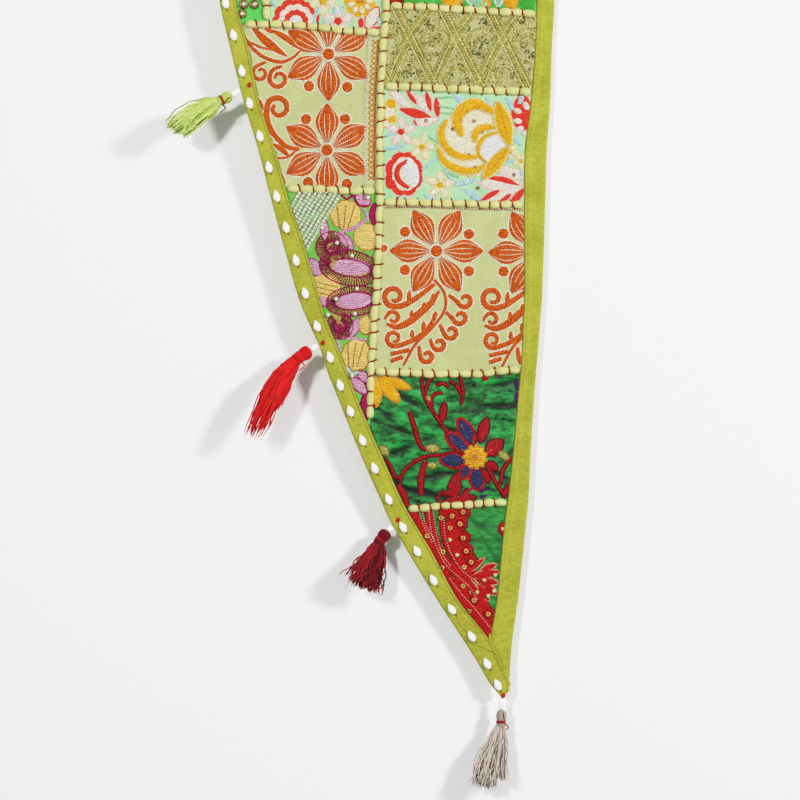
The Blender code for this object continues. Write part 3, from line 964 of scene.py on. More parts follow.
@dataclass(frozen=True)
class PatchSheets:
    """The pieced patches: thin closed sheets on the drop's folds.

    Attributes:
        step: Distance between the points of a sheet, in millimetres.
        thickness: Thickness of the cloth and what is sewn behind it, in millimetres.
    """

    step: float = 2.2
    thickness: float = 2.4

    def build(self, patch: Patch, finishes: Finishes) -> bpy.types.Object:
        """Cut one patch.

        Args:
            patch: The piece of cloth.
            finishes: The finishes to take materials from.

        Returns:
            The piece.
        """
        ends = np.array([0.0, 0.5, 1.0])
        sides = [HangingCloth.settle(patch, np.full(3, s), ends) for s in (0.0, 1.0)]
        wide = (sides[1][0] - sides[0][0]).max()
        tall = np.ptp(sides, axis=2)[:, 1].max()
        shares = (np.linspace(0, 1, int(length / self.step) + 2) for length in (wide, tall))
        across, drop = HangingCloth.settle(patch, *np.meshgrid(*shares))
        # painted shade: this hollow mark makes the satin colour dark in the sunk creases
        hollow = np.clip(sum(-c.height(across, drop) for c in CREASES if c.rise < 0), 0.0, 1.0)
        front = HangingCloth.place(across, drop, HangingCloth.front(across, drop))
        back = HangingCloth.place(across, drop, HangingCloth.relief(across, drop) - self.thickness)
        work = Work("cloth_" + patch.name, patch.slot)
        work.closed(front, back, patch.finish, hollow=hollow)
        piece = work.finish(finishes, weld=True)
        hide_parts(patch.name)
        declare_sheet(wide, np.ptp(drop), flat_area(across, drop))
        return piece


def flat_area(across: Array, drop: Array) -> float:
    """Add up the flat area of a grid.

    Args:
        across: Distance of each point to the right, in millimetres.
        drop: Distance of each point below the top edge, in millimetres.

    Returns:
        The area in square millimetres.
    """
    one = (across[1:, 1:] - across[:-1, :-1], drop[1:, 1:] - drop[:-1, :-1])
    two = (across[1:, :-1] - across[:-1, 1:], drop[1:, :-1] - drop[:-1, 1:])
    return float(np.abs(one[0] * two[1] - one[1] * two[0]).sum() / 2)


def declare_sheet(wide: float, tall: float, area: float) -> None:
    """Work out the size that a piece of cloth was cut to, in metres; the results are not kept.

    Args:
        wide: Widest cut, in millimetres.
        tall: Longest cut, in millimetres.
        area: Flat area in square millimetres.
    """
    wide * MM
    min(area, wide * tall) * MM * MM


EDGE_ROWS = (0, 0.12, 0.4, 0.9, 1.5, 2.1, 2.7, 3.3, 4.2, 5.4, 6.0, 6.6, 7.4)
EDGE_ROWS_WIDTH = 16
HEADING_SWELL = 0.25
HEADING_WAVES = (19.0, 7.6)
CUT_ALLOWANCE = 1.02
STITCH_LEVEL = 0.25
TOPSTITCH_SIDES = ((Seam.LEFT_INNER, -1, 776), (Seam.RIGHT_INNER, 1, 712))
FOLD_WIDTH = 3.0
FOLD_HEIGHT = 1.3
FOLD_SUNK = 0.9
FOLD_RUN = (718.0, 770.0)
FOLD_CREASE_SHADOWS = (
    ((76, 701), (81, 712), (92, 718), (103, 716)),
    ((83, 725), (96, 730), (110, 736), (120, 742)),
    ((113, 728), (120, 741), (124, 756)),
)


@dataclass(frozen=True)
class Bands:
    """The lime heading and bindings: folded strips with rounded edges and a line of topstitching.

    Attributes:
        relief: How far the front stands out from the patches, in millimetres.
        thickness: Thickness of the folded strip, in millimetres.
        step: Distance between the rows of points, in millimetres.
        stitch_inset: Distance of the topstitching from the inner edge, in millimetres.
        stitch_pitch: Length of a stitch and its gap, in millimetres.
        ridge_inset: Distance of the inner fold from the right binding's inner edge, in millimetres.
        seam_depth: Depth that the topstitching draws the cloth in, in millimetres.
        seam_width: Half width of that hollow, in millimetres.
        ripple: Height of the ripples beside the inner edge, in millimetres.
        ripple_pitch: Distance between two ripples, in millimetres.
        ripple_reach: How far they run in from the edge, in millimetres.
        ridge: Height of the inner fold, in millimetres.
        ridge_edge: Width of the slope at its edge, in millimetres.
    """

    relief: float = 0.8
    thickness: float = 4.0
    step: float = 2.6
    stitch_inset: float = 2.7
    stitch_pitch: float = 2.9
    ridge_inset: float = 6.3
    seam_depth: float = 0.45
    seam_width: float = 0.75
    ripple: float = 0.12
    ripple_pitch: float = 9.1
    ripple_reach: float = 9.0
    ridge: float = 1.0
    ridge_edge: float = 0.28

    def section(self, wide: Array) -> tuple[Array, Array]:
        """Spread points over a strip's width, close together at its edges.

        Args:
            wide: Width of the strip at each row, in millimetres.

        Returns:
            Distance of each point from the left edge and from the nearer edge.
        """
        near = np.array(EDGE_ROWS) / EDGE_ROWS_WIDTH
        shares = np.concatenate((near, [0.5], 1 - near[::-1]))
        from_left = wide[:, None] * shares
        return from_left, np.minimum(from_left, wide[:, None] - from_left)

    def build(self, band: Patch, finishes: Finishes) -> bpy.types.Object:
        """Fold one strip.

        Args:
            band: The strip.
            finishes: The finishes to take materials from.

        Returns:
            The piece.
        """
        tall = np.ptp(HangingCloth.settle(band, np.full(2, 0.5), np.array([0.0, 1.0]))[1])
        t = np.linspace(0, 1, int(tall / self.step) + 3)
        left = HangingCloth.settle(band, np.zeros_like(t), t)[0]
        right = HangingCloth.settle(band, np.ones_like(t), t)[0]
        from_left, from_edge = self.section(right - left)
        s = from_left / (right - left)[:, None]
        across, drop = HangingCloth.settle(band, s, np.broadcast_to(t[:, None], s.shape))
        half = self.thickness / 2
        close = np.minimum(np.minimum(from_edge, half), (from_left[:, -1] / 2)[:, None])
        full = half * np.sqrt(np.clip(1 - (1 - close / half) ** 2, 0.0, 1.0))
        if band.name == "heading":
            full = np.full_like(full, half)
        middle = HangingCloth.relief(across, drop) + self.relief - half
        front = HangingCloth.place(across, drop, middle + full + self.worked(band, from_left, drop))
        back = HangingCloth.place(across, drop, middle - full)
        work = Work("cloth_" + band.name, band.slot)
        work.closed(front, back, band.finish)
        piece = work.finish(finishes, weld=True)
        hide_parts(band.name)
        area = flat_area(across, drop)
        length = float(np.hypot(np.diff(left), np.diff(drop[:, 0])).sum())
        declare_sheet(max(area / length * CUT_ALLOWANCE, 1.0), length, area)
        return piece

    def worked(self, band: Patch, from_left: Array, drop: Array) -> Array:
        """Height that the sewing gives the front of a strip.

        Args:
            band: The strip.
            from_left: Distance of each point from the strip's left edge, in millimetres.
            drop: Distance of each point below the top edge, in millimetres.

        Returns:
            The added height in millimetres.
        """
        wide = from_left[:, -1:]
        inner = wide - from_left if band.name == "binding_left" else from_left
        if band.name == "heading":
            return HEADING_SWELL * np.sin(from_left / HEADING_WAVES[0]) * np.sin(drop / HEADING_WAVES[1])
        seam = -self.seam_depth * np.exp(-(((inner - self.stitch_inset) / self.seam_width) ** 2))
        phase = tau * drop / self.ripple_pitch + np.sin(drop / 17.0)
        ripple = self.ripple * np.sin(phase) * np.exp(-inner / self.ripple_reach)
        if band.name == "binding_left":
            return seam + ripple
        ridge = self.ridge * (1 - 1 / (1 + np.exp(-(inner - self.ridge_inset) / self.ridge_edge)))
        return seam + ripple + ridge * np.clip(wide / 14 - 0.4, 0.0, 1.0)

    def topstitch(self, finishes: Finishes) -> bpy.types.Object:
        """Sew the line of small stitches along both bindings.

        Args:
            finishes: The finishes to take materials from.

        Returns:
            The piece.
        """
        work = Work("topstitching", "lime_cotton")
        for seam, way, last in TOPSTITCH_SIDES:
            for drop in np.arange(HEADING_HEIGHT + 3, last, self.stitch_pitch):
                line = LINES[seam]
                ends = np.array([drop, drop + self.stitch_pitch * 0.6])
                spots = np.stack((line(ends) + way * self.stitch_inset, ends), axis=1)
                path = Path(spots, rows=4)
                level = HangingCloth.relief(path.across, path.drop)[:, None] + self.relief - STITCH_LEVEL
                path.rope(work, 0.62, 0.42, "lime_thread", level=level)
        self.crossing(work)
        return work.finish(finishes)

    def crossing(self, work: Work) -> None:
        """Roll the fold where the bindings cross at the tip, and lay thin dark lines beside it as painted
        crease shadows.

        Args:
            work: Piece that they belong to.
        """
        drops = np.linspace(*FOLD_RUN, 14)
        fold = Path(np.stack((LINES[Seam.CROSSING](drops) - FOLD_WIDTH * 0.3, drops), axis=1))
        level = HangingCloth.relief(fold.across, fold.drop)[:, None] + self.relief
        fold.rope(work, FOLD_WIDTH, FOLD_HEIGHT, "lime", level=level - FOLD_SUNK)
        # painted shade: dark thread-coloured lines stand in for the shadows in the creases beside the fold
        for crease in FOLD_CREASE_SHADOWS:
            path = Path(crease)
            level = HangingCloth.relief(path.across, path.drop)[:, None] + self.relief
            path.rope(work, 0.5 * path.fine(0.3), 0.3, "lime_thread", level=level)


class Path:
    """A smooth line over the cloth that a stitch, stem or cord follows."""

    def __init__(self, spots: Sequence[Spot], rows: int = 0, step: float = 1.3) -> None:
        """Read points along a soft curve through a few spots.

        Args:
            spots: Across and drop of the spots, in millimetres.
            rows: Number of points wanted, or 0 to work it out.
            step: Distance between points, in millimetres, where rows is 0.
        """
        spots = np.asarray(spots, float)
        reach = np.concatenate(([0.0], np.cumsum(np.hypot(*np.diff(spots, axis=0).T))))
        rows = rows or max(4, int(reach[-1] / step) + 1)
        wanted = np.linspace(0, reach[-1], rows)
        self.across = soft_line(reach, spots[:, 0])(wanted)
        self.drop = soft_line(reach, spots[:, 1])(wanted)
        self.along = np.concatenate(([0.0], np.cumsum(np.hypot(np.diff(self.across), np.diff(self.drop)))))
        self.share = self.along / self.along[-1]
        run = np.gradient(self.across), np.gradient(self.drop)
        length = np.hypot(*run)
        self.side = np.stack((-run[1] / length, run[0] / length))

    def rope(self, work: Work, width: Number, rise: Number, look: str, lift: float = 0.0, slant: float = 0.5,
             level: Array = None, sections: int = 5) -> None:
        """Lay a half-round thread along the path.

        Args:
            work: Piece that it belongs to.
            width: Its width in millimetres, one number or one for each point.
            rise: Its height in millimetres, one number or one for each point.
            look: Name of the finish.
            lift: Height of its edges above the cloth, in millimetres.
            slant: How far its stitches lean, in widths.
            level: Heights that it lies on, or None for the cloth's front.
            sections: Number of points over its width.
        """
        turn = np.linspace(-pi / 2, pi / 2, sections)[None, :]
        width = np.broadcast_to(width, self.share.shape)[:, None]
        rise = np.broadcast_to(rise, self.share.shape)[:, None]
        reach = np.sin(turn) * width / 2
        across = self.across[:, None] + self.side[0][:, None] * reach
        drop = self.drop[:, None] + self.side[1][:, None] * reach
        height = lift + np.cos(turn) * rise - 0.1 * np.abs(np.sin(turn)) ** 4
        stitch = self.along[:, None] + slant * reach
        if level is None:
            work.lay(across, drop, height, look, stitch=stitch)
        else:
            work.grid(HangingCloth.place(across, drop, level + height), look, stitch=stitch)

    def fine(self, tip: float = 0.15) -> Array:
        """Share of the full width at each point of a line that tapers at both ends."""
        return tip + (1 - tip) * np.sin(pi * np.clip(self.share, 0.02, 0.98)) ** 0.6


class Cord(NamedTuple):
    """One couched cord: its seam, where it runs, and the distance between its stitches."""

    name: str
    seam: Seam
    upright: bool
    start: Seam
    stop: Seam
    pitch: float


CORDS = (
    Cord("couched_corner_upright", Seam.CORNER, True, Seam.HEADING, Seam.MINT_TOP, 14),
    Cord("couched_column", Seam.COLUMN, True, Seam.HEADING, Seam.LEFT_INNER, 14),
    Cord("couched_mint_top", Seam.MINT_TOP, False, Seam.LEFT_INNER, Seam.COLUMN, 12),
    Cord("couched_satin_top", Seam.SATIN_TOP, False, Seam.COLUMN, Seam.RIGHT_INNER, 12),
    Cord("couched_olive", Seam.OLIVE, False, Seam.COLUMN, Seam.RIGHT_INNER, 12),
    Cord("couched_sage_left", Seam.SAGE_LEFT, False, Seam.LEFT_INNER, Seam.COLUMN, 12),
    Cord("couched_mint_right", Seam.MINT_RIGHT, False, Seam.COLUMN, Seam.RIGHT_INNER, 12),
    Cord("couched_sage_right", Seam.SAGE_RIGHT, False, Seam.COLUMN, Seam.RIGHT_INNER, 12),
    Cord("couched_satin", Seam.SATIN, False, Seam.LEFT_INNER, Seam.RIGHT_INNER, 11),
)


TIE_LEAN = (-0.2, 0.5)
TIE_UNEVEN = (-0.5, 0.8)
UPRIGHT_TIE = (5.4, 3.4)
LEVEL_TIE = (4.9, 4.9)


@dataclass(frozen=True)
class CouchedCords:
    """Rolled cords laid over the seams, each drawn into puffs by the stitches that tie it down.

    Attributes:
        width: Width of a puff, in millimetres.
        height: Height of a puff, in millimetres.
        lift: Height of its flat side above the folds, in millimetres.
        waist: Share of the width that is left under a stitch.
        stitch_width: Width of a tying stitch, in millimetres.
        rows: Points along each puff.
        sides: Points round the cord.
        flat: Depth of its flat side, as a share of its height.
        uneven: How unevenly the stitches are spaced, as a share of a puff.
        plump: Least and greatest size of a puff, as a share.
        end_length: Length of its rounded end, in millimetres.
        wander: How far it strays from its seam, in millimetres.
        wander_pitch: How slowly it strays, in millimetres.
    """

    width: float = 8.4
    height: float = 4.0
    lift: float = 0.5
    waist: float = 0.5
    stitch_width: float = 2.0
    rows: int = 9
    sides: int = 16
    flat: float = 0.12
    uneven: float = 0.12
    plump: tuple[float, float] = (0.9, 1.08)
    end_length: float = 1.6
    wander: float = 0.35
    wander_pitch: float = 7.3

    def ends(self, cord: Cord) -> tuple[float, float]:
        """Find where a cord starts and stops along its seam.

        Args:
            cord: The cord.

        Returns:
            Both places, as drop for an upright cord and across for a level one.
        """
        clear = self.width / 2 + GAP
        line = LINES[cord.seam]
        if cord.upright:
            start = HEADING_HEIGHT + GAP
            if cord.stop is Seam.MINT_TOP:
                return start, float(LINES[cord.stop](line(start))) - clear
            stop = start
            while LINES[cord.stop](stop) < line(stop) - clear - GAP:
                stop += GAP
            return start, stop
        start = float(LINES[cord.start](line(0.0)))
        stop = float(LINES[cord.stop](line(LINES[cord.stop](line(100.0)))))
        return (start + (clear if cord.start is Seam.COLUMN else 2 * GAP),
                stop - (clear if cord.stop is Seam.COLUMN else 2 * GAP))

    def build(self, cord: Cord, ties: Work, chance: np.random.Generator,
              finishes: Finishes) -> bpy.types.Object:
        """Lay one cord and tie it down.

        Args:
            cord: The cord.
            ties: Piece that the tying stitches belong to.
            chance: Source of unevenness.
            finishes: The finishes to take materials from.

        Returns:
            The piece.
        """
        start, stop = self.ends(cord)
        puffs = max(2, round((stop - start) / cord.pitch))
        places = np.linspace(start, stop, puffs * self.rows + 1)
        spots = (LINES[cord.seam](places), places) if cord.upright else (places, LINES[cord.seam](places))
        path = Path(np.stack(spots, axis=1), rows=len(places))
        knots = np.linspace(0, 1, puffs + 1) + chance.uniform(-self.uneven, self.uneven, puffs + 1) / puffs
        knots[0], knots[-1] = 0.0, 1.0
        index = np.clip(np.searchsorted(knots, path.share, side="right") - 1, 0, puffs - 1)
        phase = (path.share - knots[index]) / (knots[index + 1] - knots[index])
        swell = np.sin(pi * np.clip(phase, 0.0, 1.0)) ** 0.7
        fat = chance.uniform(*self.plump, puffs)[index]
        size = (self.waist + (1 - self.waist) * swell) * fat
        end = np.clip(np.minimum(path.along, path.along[-1] - path.along) / self.end_length, 0.0, 1.0)
        size = size * np.sqrt(1 - (1 - end) ** 2)
        turn = np.linspace(0, tau, self.sides + 1)[None, :-1]
        arc = np.where(np.sin(turn) > 0, np.sin(turn), self.flat * np.sin(turn))
        reach = -np.cos(turn) * size[:, None] * self.width / 2
        shift = self.wander * np.sin(path.along / self.wander_pitch)[:, None]
        across = path.across[:, None] + path.side[0][:, None] * (reach + shift)
        drop = path.drop[:, None] + path.side[1][:, None] * (reach + shift)
        tall = self.height * (0.55 + 0.45 * swell) * fat * np.sqrt(1 - (1 - end) ** 2)
        base = HangingCloth.relief(across, drop) + self.lift
        work = Work("cord_" + cord.name.removeprefix("couched_"), "pale_cord")
        work.grid(HangingCloth.place(across, drop, base + arc * tall[:, None]), "cord", round_way=True,
                  stitch=path.along[:, None] * 0.8 + reach * 1.4)
        self.tie(cord, path, knots, ties, chance)
        piece = work.finish(finishes)
        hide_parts(cord.name)
        return piece

    def tie(self, cord: Cord, path: Path, knots: Array, ties: Work, chance: np.random.Generator) -> None:
        """Tie a cord down with a stitch at each waist.

        Args:
            cord: The cord.
            path: The cord's path.
            knots: Share of the path at each waist.
            ties: Piece that the stitches belong to.
            chance: Source of unevenness.
        """
        for knot in knots[1:-1]:
            spot = [np.interp(knot, path.share, values) for values in (path.across, path.drop)]
            side = [np.interp(knot, path.share, values) for values in path.side]
            lean = chance.uniform(*TIE_LEAN)
            near, far = UPRIGHT_TIE if cord.upright else LEVEL_TIE
            near, far = near + chance.uniform(*TIE_UNEVEN), far + chance.uniform(*TIE_UNEVEN)
            run = np.linspace(-near if cord.upright else -far, far if cord.upright else near, 9)
            ahead = (side[1], -side[0])
            spots = np.stack([spot[k] + run * (side[k] + lean * ahead[k]) for k in (0, 1)], axis=1)
            stitch = Path(spots, rows=len(run))
            arch = np.sqrt(np.clip(1 - (run / (self.width * self.waist / 2 + 0.6)) ** 2, 0.0, 1.0))
            level = HangingCloth.relief(stitch.across, stitch.drop) + self.lift * 0.3
            level = level + arch * (self.height * 0.6 + 0.55)
            stitch.rope(ties, self.stitch_width * stitch.fine(0.75), 0.9, "rust_thread",
                        level=level[:, None])


SHELL_DROPS = (
    34, 61, 88, 120, 156, 188, 221, 252, 281, 312, 345, 378, 411, 442,
    470, 496, 525, 553, 584, 612, 636, 665, 694, 721, 748, 769,
)
SHELL_TIES = ((0.46, 1.0), (-0.47, 0.6))


@dataclass(frozen=True)
class Shells:
    """Small white shells stitched down the left binding, narrow ends up.

    Attributes:
        length: Length of a shell, in millimetres.
        width: Width of a shell, in millimetres.
        height: Height of its dome, in millimetres.
        taper: How much narrower its upper end is, as a share.
        outset: How far the row lies outside the binding's middle line, in millimetres.
        lift: Height of its edge above the binding, in millimetres.
        groove: Depth of the groove down its middle, in millimetres.
        groove_width: Half width of the groove, in millimetres.
        groove_reach: Distance from its middle to the groove's end, as a share of its length.
        sides: Points round the shell.
        reach: Distance over which its lean is read off the binding, in millimetres.
    """

    length: float = 12.6
    width: float = 7.5
    height: float = 3.9
    taper: float = 0.62
    outset: float = 2.4
    lift: float = 0.4
    groove: float = 0.7
    groove_width: float = 0.5
    groove_reach: float = 0.36
    sides: int = 28
    reach: float = 10.0

    def middle(self, drop: Number) -> Number:
        """Middle line of the left binding, as across for a drop."""
        return (LINES[Seam.LEFT_OUTER](drop) + LINES[Seam.LEFT_INNER](drop)) / 2

    def build(self, number: int, drop: float, ties: Work, finishes: Finishes) -> bpy.types.Object:
        """Set one shell and stitch it down.

        Args:
            number: Its number in the row.
            drop: Its place below the top edge, in millimetres.
            ties: Piece that the stitches belong to.
            finishes: The finishes to take materials from.

        Returns:
            The piece.
        """
        across = self.middle(drop) - self.outset
        lean = np.array([self.middle(drop + self.reach) - self.middle(drop - self.reach), 2 * self.reach])
        lean = lean / np.hypot(*lean)
        ring = np.linspace(0, tau, self.sides + 1)[:-1]
        turn, share = np.meshgrid(ring, np.append(np.sin(np.linspace(0.04, pi / 2, 9)), 0.93))
        ahead = np.sin(turn) * share
        narrow = 1.0 - self.taper * np.maximum(0.0, -ahead) ** 1.2
        x = np.cos(turn) * share * self.width / 2 * narrow
        y = ahead * self.length / 2
        dome = self.height * np.sqrt(np.clip(1 - share**2, 0.0, 1.0)) ** 0.8 * narrow
        fade = np.clip(1 - np.abs(y) / (self.length * self.groove_reach), 0.0, 1.0)
        out = dome - self.groove * np.exp(-((x / self.groove_width) ** 2)) * fade
        out[-1] = -0.3
        a = across + lean[1] * x + lean[0] * y
        d = drop - lean[0] * x + lean[1] * y
        base = HangingCloth.relief(a, d) + Bands.relief + self.lift
        work = Work(f"white_shell_{number:02d}", "white_shell")
        work.grid(HangingCloth.place(a, d, base + out), "shell", round_way=True)
        spot = np.array([across, drop])
        for end, way in SHELL_TIES:
            tip = spot + lean * self.length * end
            stitch = Path([tip - lean * 0.6 * way, tip + (lean + [0.25, 0]) * 2.4 * way], rows=5)
            level = (HangingCloth.relief(stitch.across, stitch.drop) + 1.0)[:, None]
            stitch.rope(ties, 1.0 * way, 0.7, "rust_thread", level=level)
        piece = work.finish(finishes)
        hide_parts(f"shell_{number:02d}")
        return piece


STITCH_ROW = 1.7
ROUND_SIDES = 14
ROUND_SIDES_PER_MM = 3.4
ROUND_SIDES_PER_LOBE = 8
ROUND_RIM = 1.1
STEM_RIM = 2.0
RING_SIDES = 14
BEAD_SIDES = 10


@dataclass(frozen=True)
class Leaf:
    """A petal or leaf: pointed at both ends and worked across its spine.

    Attributes:
        base: End where it grows from.
        tip: Its other end.
        width: Its widest, in millimetres.
        look: Name of its finish.
        edge: Finish of a thin line round it, or an empty name for none.
        belly: Share of its length at which it is widest.
        bend: How far its spine bows to the side, in millimetres.
        veins: Shares of its half width at which a vein runs.
        vein: Finish of the veins.
        lift: Height of its edge above the cloth, in millimetres.
        rise: Height of its middle above its edge, in millimetres.
        point: How sharp its ends are, from 0.5 for blunt to 1 for pointed.
        rim: Width of the line round it, in millimetres.
    """

    base: Spot
    tip: Spot
    width: float
    look: str
    edge: str = ""
    belly: float = 0.5
    bend: float = 0.0
    veins: tuple[float, ...] = ()
    vein: str = "cream"
    lift: float = 0.0
    rise: float = 1.0
    point: float = 0.75
    rim: float = 1.15

    def grid(self, t: Array, v: Array, at: Spot, grow: float = 0.0) -> tuple[Array, Array, Array]:
        """Find points of the shape.

        Args:
            t: Share of the way from base to tip.
            v: Share of the half width, from -1 to 1.
            at: Place that the shape's spots are measured from.
            grow: How much larger it is on every side, in millimetres.

        Returns:
            Across and drop of each point, and the profile of its width there.
        """
        base, tip = np.array(self.base, float) + at, np.array(self.tip, float) + at
        run = tip - base
        length = np.hypot(*run)
        run = run / length
        profile = np.sin(pi * np.clip(t, 0, 1) ** (np.log(0.5) / np.log(self.belly))) ** self.point
        swelled = profile * self.width / 2 + grow * np.clip(profile * 4, 0, 1)
        reach = v * swelled + self.bend * np.sin(pi * t)
        ahead = t * (length + 2 * grow) - grow
        return base[0] + run[0] * ahead - run[1] * reach, base[1] + run[1] * ahead + run[0] * reach, profile

    def fill(self, work: Work, at: Spot, look: str, grow: float, lift: float, rise: float) -> None:
        """Fill the shape with stitches."""
        length = np.hypot(self.tip[0] - self.base[0], self.tip[1] - self.base[1])
        t = np.linspace(0, 1, max(8, int(length / STITCH_ROW)))[:, None]
        v = np.linspace(-1, 1, 9 if self.width > 6 else 7)[None]
        across, drop, profile = self.grid(t, v, at, grow)
        height = lift + rise * (1 - np.abs(v) ** 3) * profile**0.4 - 0.15 * np.abs(v) ** 8
        work.lay(across, drop, height, look, stitch=t * length + 0.45 * v * self.width / 2)

    def stitch(self, work: Work, at: Spot = NOWHERE) -> None:
        """Work the shape, its line round it and its veins.

        Args:
            work: Piece that it belongs to.
            at: Place that its spots are measured from.
        """
        if self.edge:
            self.fill(work, at, self.edge, self.rim, self.lift, self.rise * 0.5)
        self.fill(work, at, self.look, 0.0, self.lift, self.rise)
        for vein in self.veins:
            t = np.linspace(0.1, 0.9 if abs(vein) > 0.4 else 0.74, 16)
            across, drop, _ = self.grid(t, np.full_like(t, vein), at)
            path = Path(np.stack((across, drop), axis=1), rows=18)
            path.rope(work, 0.95 * path.fine(0.4), 0.35, self.vein,
                      lift=self.lift + self.rise * (1 - abs(vein) ** 3) - 0.02)


@dataclass(frozen=True)
class Round:
    """A dot, oval or scalloped round, worked from its middle.

    Attributes:
        centre: Its middle.
        radius: Its radius across, in millimetres.
        look: Name of its finish.
        edge: Finish of a thin line round it, or an empty name for none.
        squash: Its height as a share of its width.
        turn: How far it is turned, in degrees.
        lobes: Number of scallops, or 0 for a plain edge.
        depth: Depth of the scallops as a share of the radius.
        lift: Height of its edge above the cloth, in millimetres.
        rise: Height of its middle above its edge, in millimetres.
    """

    centre: Spot
    radius: float
    look: str
    edge: str = ""
    squash: float = 1.0
    turn: float = 0.0
    lobes: int = 0
    depth: float = 0.16
    lift: float = 0.0
    rise: float = 0.9

    def fill(self, work: Work, at: Spot, look: str, grow: float, rise: float) -> None:
        """Fill the shape with stitches."""
        around = max(ROUND_SIDES, int(self.radius * ROUND_SIDES_PER_MM))
        if self.lobes:
            around = self.lobes * ROUND_SIDES_PER_LOBE
        angle = np.linspace(0, tau, around + 1)[:-1][None]
        share = np.append(np.linspace(0.03, 0.8, max(3, int(self.radius / 2.2))), [0.93, 1.0])[:, None]
        edge = self.radius + grow
        if self.lobes:
            edge = edge * (1 - self.depth + self.depth * np.abs(np.sin(self.lobes * angle / 2)) ** 0.6)
        x, y = np.cos(angle) * share * edge, np.sin(angle) * share * edge * self.squash
        c, s = cos(radians(self.turn)), sin(radians(self.turn))
        across = self.centre[0] + at[0] + x * c - y * s
        drop = self.centre[1] + at[1] + x * s + y * c
        height = self.lift + rise * (1 - share**3) - 0.15 * (share > 0.99)
        work.lay(across, drop, np.broadcast_to(height, across.shape), look, round_way=True, stitch=y)

    def stitch(self, work: Work, at: Spot = NOWHERE) -> None:
        """Work the shape and its line round it.

        Args:
            work: Piece that it belongs to.
            at: Place that its centre is measured from.
        """
        if self.edge:
            self.fill(work, at, self.edge, ROUND_RIM, self.rise * 0.5)
        self.fill(work, at, self.look, 0.0, self.rise)


@dataclass(frozen=True)
class Stem:
    """A line of stitches along a soft curve.

    Attributes:
        spots: Places that it passes through.
        width: Its width in millimetres.
        look: Name of its finish.
        edge: Finish of a thin line along both sides, or an empty name for none.
        taper: Width of its ends as a share, or 1 for an even line.
        lift: Height of its edges above the cloth, in millimetres.
        rise: Height of its middle above its edges, in millimetres.
    """

    spots: tuple[Spot, ...]
    width: float
    look: str
    edge: str = ""
    taper: float = 1.0
    lift: float = 0.0
    rise: float = 1.0

    def stitch(self, work: Work, at: Spot = NOWHERE) -> None:
        """Work the line.

        Args:
            work: Piece that it belongs to.
            at: Place that its spots are measured from.
        """
        path = Path(np.array(self.spots, float) + at)
        shape = path.fine(self.taper) if self.taper < 1 else 1.0
        if self.edge:
            path.rope(work, self.width * shape + STEM_RIM, self.rise * 0.45, self.edge, self.lift)
        path.rope(work, self.width * shape, self.rise, self.look, self.lift + (0.1 if self.edge else 0.0))


@dataclass(frozen=True)
class Curl:
    """A stem that winds into a scroll.

    Attributes:
        lead: Places that it passes through before the scroll.
        centre: Middle of the scroll.
        radius: Radius at which the scroll starts, in millimetres.
        start: Angle at which it starts, in degrees, 0 to the right and 90 down.
        sweep: Angle that it winds through, in degrees.
        width: Width of the stem, in millimetres.
        look: Name of its finish.
        edge: Finish of a thin line along both sides, or an empty name for none.
    """

    lead: tuple[Spot, ...]
    centre: Spot
    radius: float
    start: float
    sweep: float
    width: float
    look: str = "orange"
    edge: str = "cream"

    def stitch(self, work: Work, at: Spot = NOWHERE) -> None:
        """Work the scroll.

        Args:
            work: Piece that it belongs to.
            at: Place that its spots are measured from.
        """
        share = np.linspace(0, 1, 9)
        angle = np.radians(self.start + self.sweep * share)
        radius = self.radius * (1 - 0.62 * share**1.3)
        turns = [(self.centre[0] + r * cos(a), self.centre[1] + r * sin(a)) for r, a in zip(radius, angle)]
        Stem((*self.lead, *turns), self.width, self.look, self.edge, taper=0.6).stitch(work, at)


@dataclass(frozen=True)
class Ladder:
    """A band of rungs between two ovals, with a line along each side.

    Attributes:
        centre: Middle of the ovals.
        inner: Half width and half height of the inner oval, in millimetres.
        outer: Half width and half height of the outer oval, in millimetres.
        turn: How far the ovals are turned, in degrees.
        span: First and last angle of the band, in degrees.
        rungs: Number of rungs.
        look: Name of its finish.
    """

    centre: Spot
    inner: Spot
    outer: Spot
    turn: float
    span: Spot
    rungs: int
    look: str = "maroon_thread"

    def spot(self, angle: float, share: float) -> Spot:
        """Find a place on the band.

        Args:
            angle: Angle round the ovals, in degrees.
            share: Share of the way from the inner oval to the outer one.

        Returns:
            The place.
        """
        a, turn = radians(angle), radians(self.turn)
        x = cos(a) * (self.inner[0] + (self.outer[0] - self.inner[0]) * share)
        y = sin(a) * (self.inner[1] + (self.outer[1] - self.inner[1]) * share)
        return self.centre[0] + x * cos(turn) - y * sin(turn), self.centre[1] + x * sin(turn) + y * cos(turn)

    def stitch(self, work: Work, at: Spot = NOWHERE) -> None:
        """Work the band.

        Args:
            work: Piece that it belongs to.
            at: Place that its centre is measured from.
        """
        angles = np.linspace(*self.span, self.rungs)
        for share, width in ((0.0, 1.7), (1.0, 1.5)):
            Stem(tuple(self.spot(a, share) for a in angles), width, "magenta", lift=0.2).stitch(work, at)
        for number, angle in enumerate(angles):
            look = self.look if number % 3 else "magenta"
            ends = (self.spot(angle, 0.02), self.spot(angle + 2.0, 0.98))
            Stem(ends, 1.25, look, rise=0.7).stitch(work, at)


